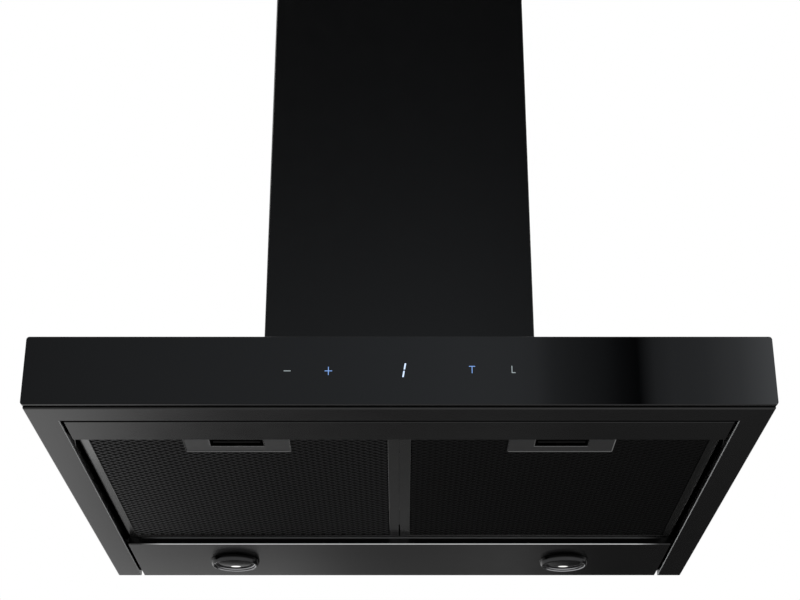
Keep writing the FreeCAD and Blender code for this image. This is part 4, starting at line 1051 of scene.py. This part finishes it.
def ring_polish_and_painted_shade(look, place):
    """A foot painted black as shade where it meets the panel, a faintly polished wall, two bright cones
    towards the lens, and a black ring between them painted as shade.
    """
    inner = [(0.70, 0.05), (0.77, 0.10), (0.78, 0.95), (0.822, 0.95), (0.826, 0.01)]
    outer = [(0.834, 0.01), (0.838, 1.0), (0.864, 1.0), (0.88, 0.12), (0.962, 0.11), (0.978, 0.0)]
    polish = look.ramp(from_lamp(look, place) / bezel_radius, inner + outer)
    return polish * (look.noise(place, 120, 2) * 0.2 + 0.85)


black_chrome = surface(
    "black_chrome",
    ((0.003, 0.003, 0.003), (0.38, 0.38, 0.39)),
    (0.06, 0.09),
    ring_polish_and_painted_shade,
    metallic=1.0,
)


# the spot sits behind the lens middle, where the reflector's highlight shows from the front: a painted
# highlight
spot_behind = 9.5 * mm
spot_flatness = 1.8
spot_reach = 10 * mm


def lens_finish():
    """Smoky moulded plastic with one glowing spot behind its middle: partly the diode's light, partly a
    painted highlight of the reflector behind the lens.
    """
    look = Look(bpy.data.materials.new("smoky_lens"))
    place = look.place()
    far = from_lamp(look, place, spot_behind, spot_flatness) / spot_reach
    glow = look.ramp(far, [(0.0, 0.9), (0.30, 1.0), (0.45, 0.9), (0.54, 0.05), (0.60, 0.01), (1.0, 0.0)])
    cloud = look.noise(place, 200, 2)
    values = {
        "Base Color": look.blend((0.006, 0.006, 0.0065, 1), (0.012, 0.012, 0.012, 1), cloud),
        "Roughness": cloud * 0.06 + 0.10,
        "Specular IOR Level": 0.2,
        "Emission Color": look.blend((0, 0, 0, 1), (1.0, 0.99, 0.97, 1), glow),
        "Emission Strength": 1.1,
    }
    return look.made_of(values)


lamp_sides = 72


def stepped(name, side, radius, level, depth, steps):
    """A disc at a lamp's middle whose lower face is drawn out step by step, each a radius and a level."""
    piece = drum(name, (side * lamp_x, lamp_y, level - depth / 2), radius, depth, sides=lamp_sides)
    bottom = level - depth
    now = radius
    chosen(piece, "FACE", lambda middle, way: way.z < -0.9)
    for reach, height in steps:
        bpy.ops.mesh.extrude_region_move(TRANSFORM_OT_translate={"value": (0, 0, height - bottom)})
        bpy.ops.transform.resize(value=(reach / now, reach / now, 1))
        now = reach
        bottom = height
    return piece


smoky_lens = lens_finish()
bezel_edge = 0.8 * mm
bezel_flat = 7 * mm
bezel_wall = 0.3 * mm
neck_radius = 23.3 * mm
neck_long = 9 * mm
neck_wall = 1.5 * mm
lens_radius = 17.2 * mm
lens_top = -1.4 * mm
lens_depth = 1.8 * mm
for side, name in ((-1, "left"), (1, "right")):
    bezel = stepped(f"bezel_of_{name}_lamp", side, bezel_radius, 0, bezel_edge, [
        (24.7 * mm, -1.6 * mm),
        (24.2 * mm, -3.4 * mm),
        (23.4 * mm, -5.0 * mm),
        (22.6 * mm, -5.8 * mm),
        (22.0 * mm, -6.0 * mm),
        (21.6 * mm, -5.9 * mm),
        (20.9 * mm, -5.2 * mm),
        (20.6 * mm, -4.2 * mm),
        (19.4 * mm, -3.6 * mm),
        (lens_radius, -3.5 * mm),
    ])
    bpy.ops.mesh.delete(type="FACE")
    chosen(bezel, "FACE", lambda middle, way: way.z > 0.9)
    bpy.ops.mesh.inset(thickness=bezel_flat)
    bpy.ops.mesh.delete(type="FACE")
    bpy.ops.object.mode_set(mode="OBJECT")
    applied(bezel, "SOLIDIFY", thickness=bezel_wall, offset=-1)
    neck = drum("neck", (side * lamp_x, lamp_y, neck_long / 2), neck_radius, neck_long, sides=lamp_sides)
    chosen(neck, "FACE", lambda middle, way: abs(way.z) > 0.9)
    bpy.ops.mesh.inset(thickness=neck_wall)
    bpy.ops.mesh.bridge_edge_loops()
    bpy.ops.object.mode_set(mode="OBJECT")
    bezel = joined(f"bezel_of_{name}_lamp", [bezel, neck])
    smooth(bezel, 20)
    fitted(bezel, black_chrome, "canopy", "lamp_black_chrome", f"lamp_bezel_{name}")
    lens = stepped(f"lens_of_{name}_lamp", side, lens_radius, lens_top, lens_depth, [
        (16.6 * mm, -3.4 * mm),
        (15.6 * mm, -3.6 * mm),
        (12.0 * mm, -3.8 * mm),
        (7.0 * mm, -3.95 * mm),
        (2.0 * mm, -4.0 * mm),
    ])
    bpy.ops.object.mode_set(mode="OBJECT")
    smooth(lens, 30)
    fitted(lens, smoky_lens, "canopy", "lamp_lens", f"lamp_lens_{name}")

# ---------------------------------------------------------------- chimney covers
# Two three-sided covers folded from coated sheet. The lower stands on the canopy, and
# the upper slides inside it and has louvres near its top.

return_width = 14 * mm
cover_bend = 1.3 * mm


def cover(name, node):
    """A sheet folded round three sides, with a narrow return along each rear edge."""
    low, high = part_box(node)
    piece = block(name, low, high)
    for across in (low.x + return_width, high.x - return_width):
        split(piece, (across, 0, 0), (1, 0, 0))

    def open_side(middle, way):
        return abs(way.z) > 0.9 or (way.y > 0.9 and abs(middle.x) < high.x - return_width)

    chosen(piece, "FACE", open_side)
    bpy.ops.mesh.delete(type="FACE")
    bpy.ops.object.mode_set(mode="OBJECT")
    soften_sharp(piece, cover_bend, 4)
    applied(piece, "SOLIDIFY", thickness=sheet, offset=-1, use_even_offset=True)
    return piece


lower = cover("lower_cover", "lower_chimney")
smooth(lower)
fitted(lower, black_coat, "canopy", "black_coat", "lower_chimney")

upper = cover("upper_cover_body", "upper_chimney")
upper_low, upper_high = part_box("upper_chimney")
louvre_long = 130 * mm
louvre_rise = 3.5 * mm
louvre_pitch = 10 * mm
louvre_middle = -127.5 * mm
louvre_drop = 20 * mm
louvre_rows = 6
tools = []
for row in range(louvre_rows):
    top = upper_high.z - louvre_drop - row * louvre_pitch
    tool_low = (upper_low.x - sheet, louvre_middle - louvre_long / 2, top - louvre_rise)
    tool_high = (upper_high.x + sheet, louvre_middle + louvre_long / 2, top)
    tools.append(block("tool", tool_low, tool_high))
cut_away(upper, tools)
smooth(upper)
fitted(upper, black_coat, "upper_cover", "black_coat", "upper_chimney")

# ---------------------------------------------------------------- blower, motor and small parts
# What is inside: the steel blower case, a moulded scroll with its wheel and motor,
# the collar with its flaps, the electrics, and the plates that hang on the wall.

zinc_steel = surface(
    "zinc_coated_steel",
    ((0.42, 0.43, 0.44), (0.58, 0.59, 0.60)),
    (0.28, 0.45),
    lambda look, place: look.node("ShaderNodeTexVoronoi", None, {"Vector": place, "Scale": 140.0}, outlet=0),
    lambda look, place: look.noise(place, 500, 2),
    0.004 * mm,
    metallic=1.0,
)
bright_steel = surface(
    "bright_steel",
    ((0.50, 0.50, 0.50), (0.62, 0.62, 0.61)),
    (0.18, 0.30),
    lambda look, place: look.noise(place, 400, 2),
    metallic=1.0,
)
black_screw = surface(
    "black_screw",
    ((0.010, 0.010, 0.010), (0.020, 0.020, 0.020)),
    (0.25, 0.40),
    lambda look, place: look.noise(place, 600, 2),
)
rubber = surface(
    "bush_rubber",
    ((0.012, 0.012, 0.012), (0.020, 0.020, 0.020)),
    (0.7, 0.85),
    lambda look, place: look.noise(place, 900, 2),
)
board_green = surface(
    "circuit_board",
    ((0.010, 0.075, 0.030), (0.020, 0.14, 0.05)),
    (0.35, 0.5),
    lambda look, place: look.noise(place, 500, 0).above(0.55),
    lambda look, place: look.noise(place, 500, 0).above(0.55),
    0.03 * mm,
)
guide_clear = surface(
    "light_guide",
    ((0.70, 0.72, 0.74), (0.82, 0.84, 0.86)),
    (0.10, 0.20),
    lambda look, place: look.noise(place, 300, 1),
)
digit_block = surface(
    "digit_block",
    ((0.02, 0.02, 0.022), (0.04, 0.04, 0.045)),
    (0.3, 0.4),
    lambda look, place: look.noise(place, 300, 1),
)
can_aluminium = surface(
    "capacitor_can",
    ((0.55, 0.56, 0.57), (0.68, 0.68, 0.69)),
    (0.25, 0.38),
    lambda look, place: look.noise(look.stretched(place, (0.05, 1, 1)), 900, 2),
    metallic=1.0,
)
iron_core = surface(
    "laminated_iron",
    ((0.16, 0.15, 0.14), (0.30, 0.29, 0.28)),
    (0.35, 0.6),
    lambda look, place: (look.along(place, 0) * 9000).wave() * 0.5 + 0.5,
    metallic=0.8,
)
flap_plastic = surface(
    "flap_plastic",
    ((0.10, 0.10, 0.10), (0.13, 0.13, 0.13)),
    (0.4, 0.5),
    lambda look, place: look.noise(place, 200, 2),
)
slots = {
    "black_coat": black_coat,
    "black_plastic": handle_plastic,
    "green_board": board_green,
    "clear_guide": guide_clear,
    "digit_block": digit_block,
    "zinc_steel": zinc_steel,
    "black_screw": black_screw,
    "bright_steel": bright_steel,
    "capacitor_can": can_aluminium,
    "iron_core": iron_core,
    "bush_rubber": rubber,
    "flap_plastic": flap_plastic,
    "filter_coat": filter_coat,
    "filter_mesh": pad_layers_in_shade,
    "lamp_black_chrome": black_chrome,
    "lamp_lens": smoky_lens,
    "foam_tape": foam,
    "black_glass": black_glass,
}
for part in frame["record"]["subparts"]:
    clad(slots[part["material_slot"]], part["node"])
# the latches in the slot get the painted shade of the cup
clad(painted_cup_shade, "filter_latch_left", "filter_latch_right")
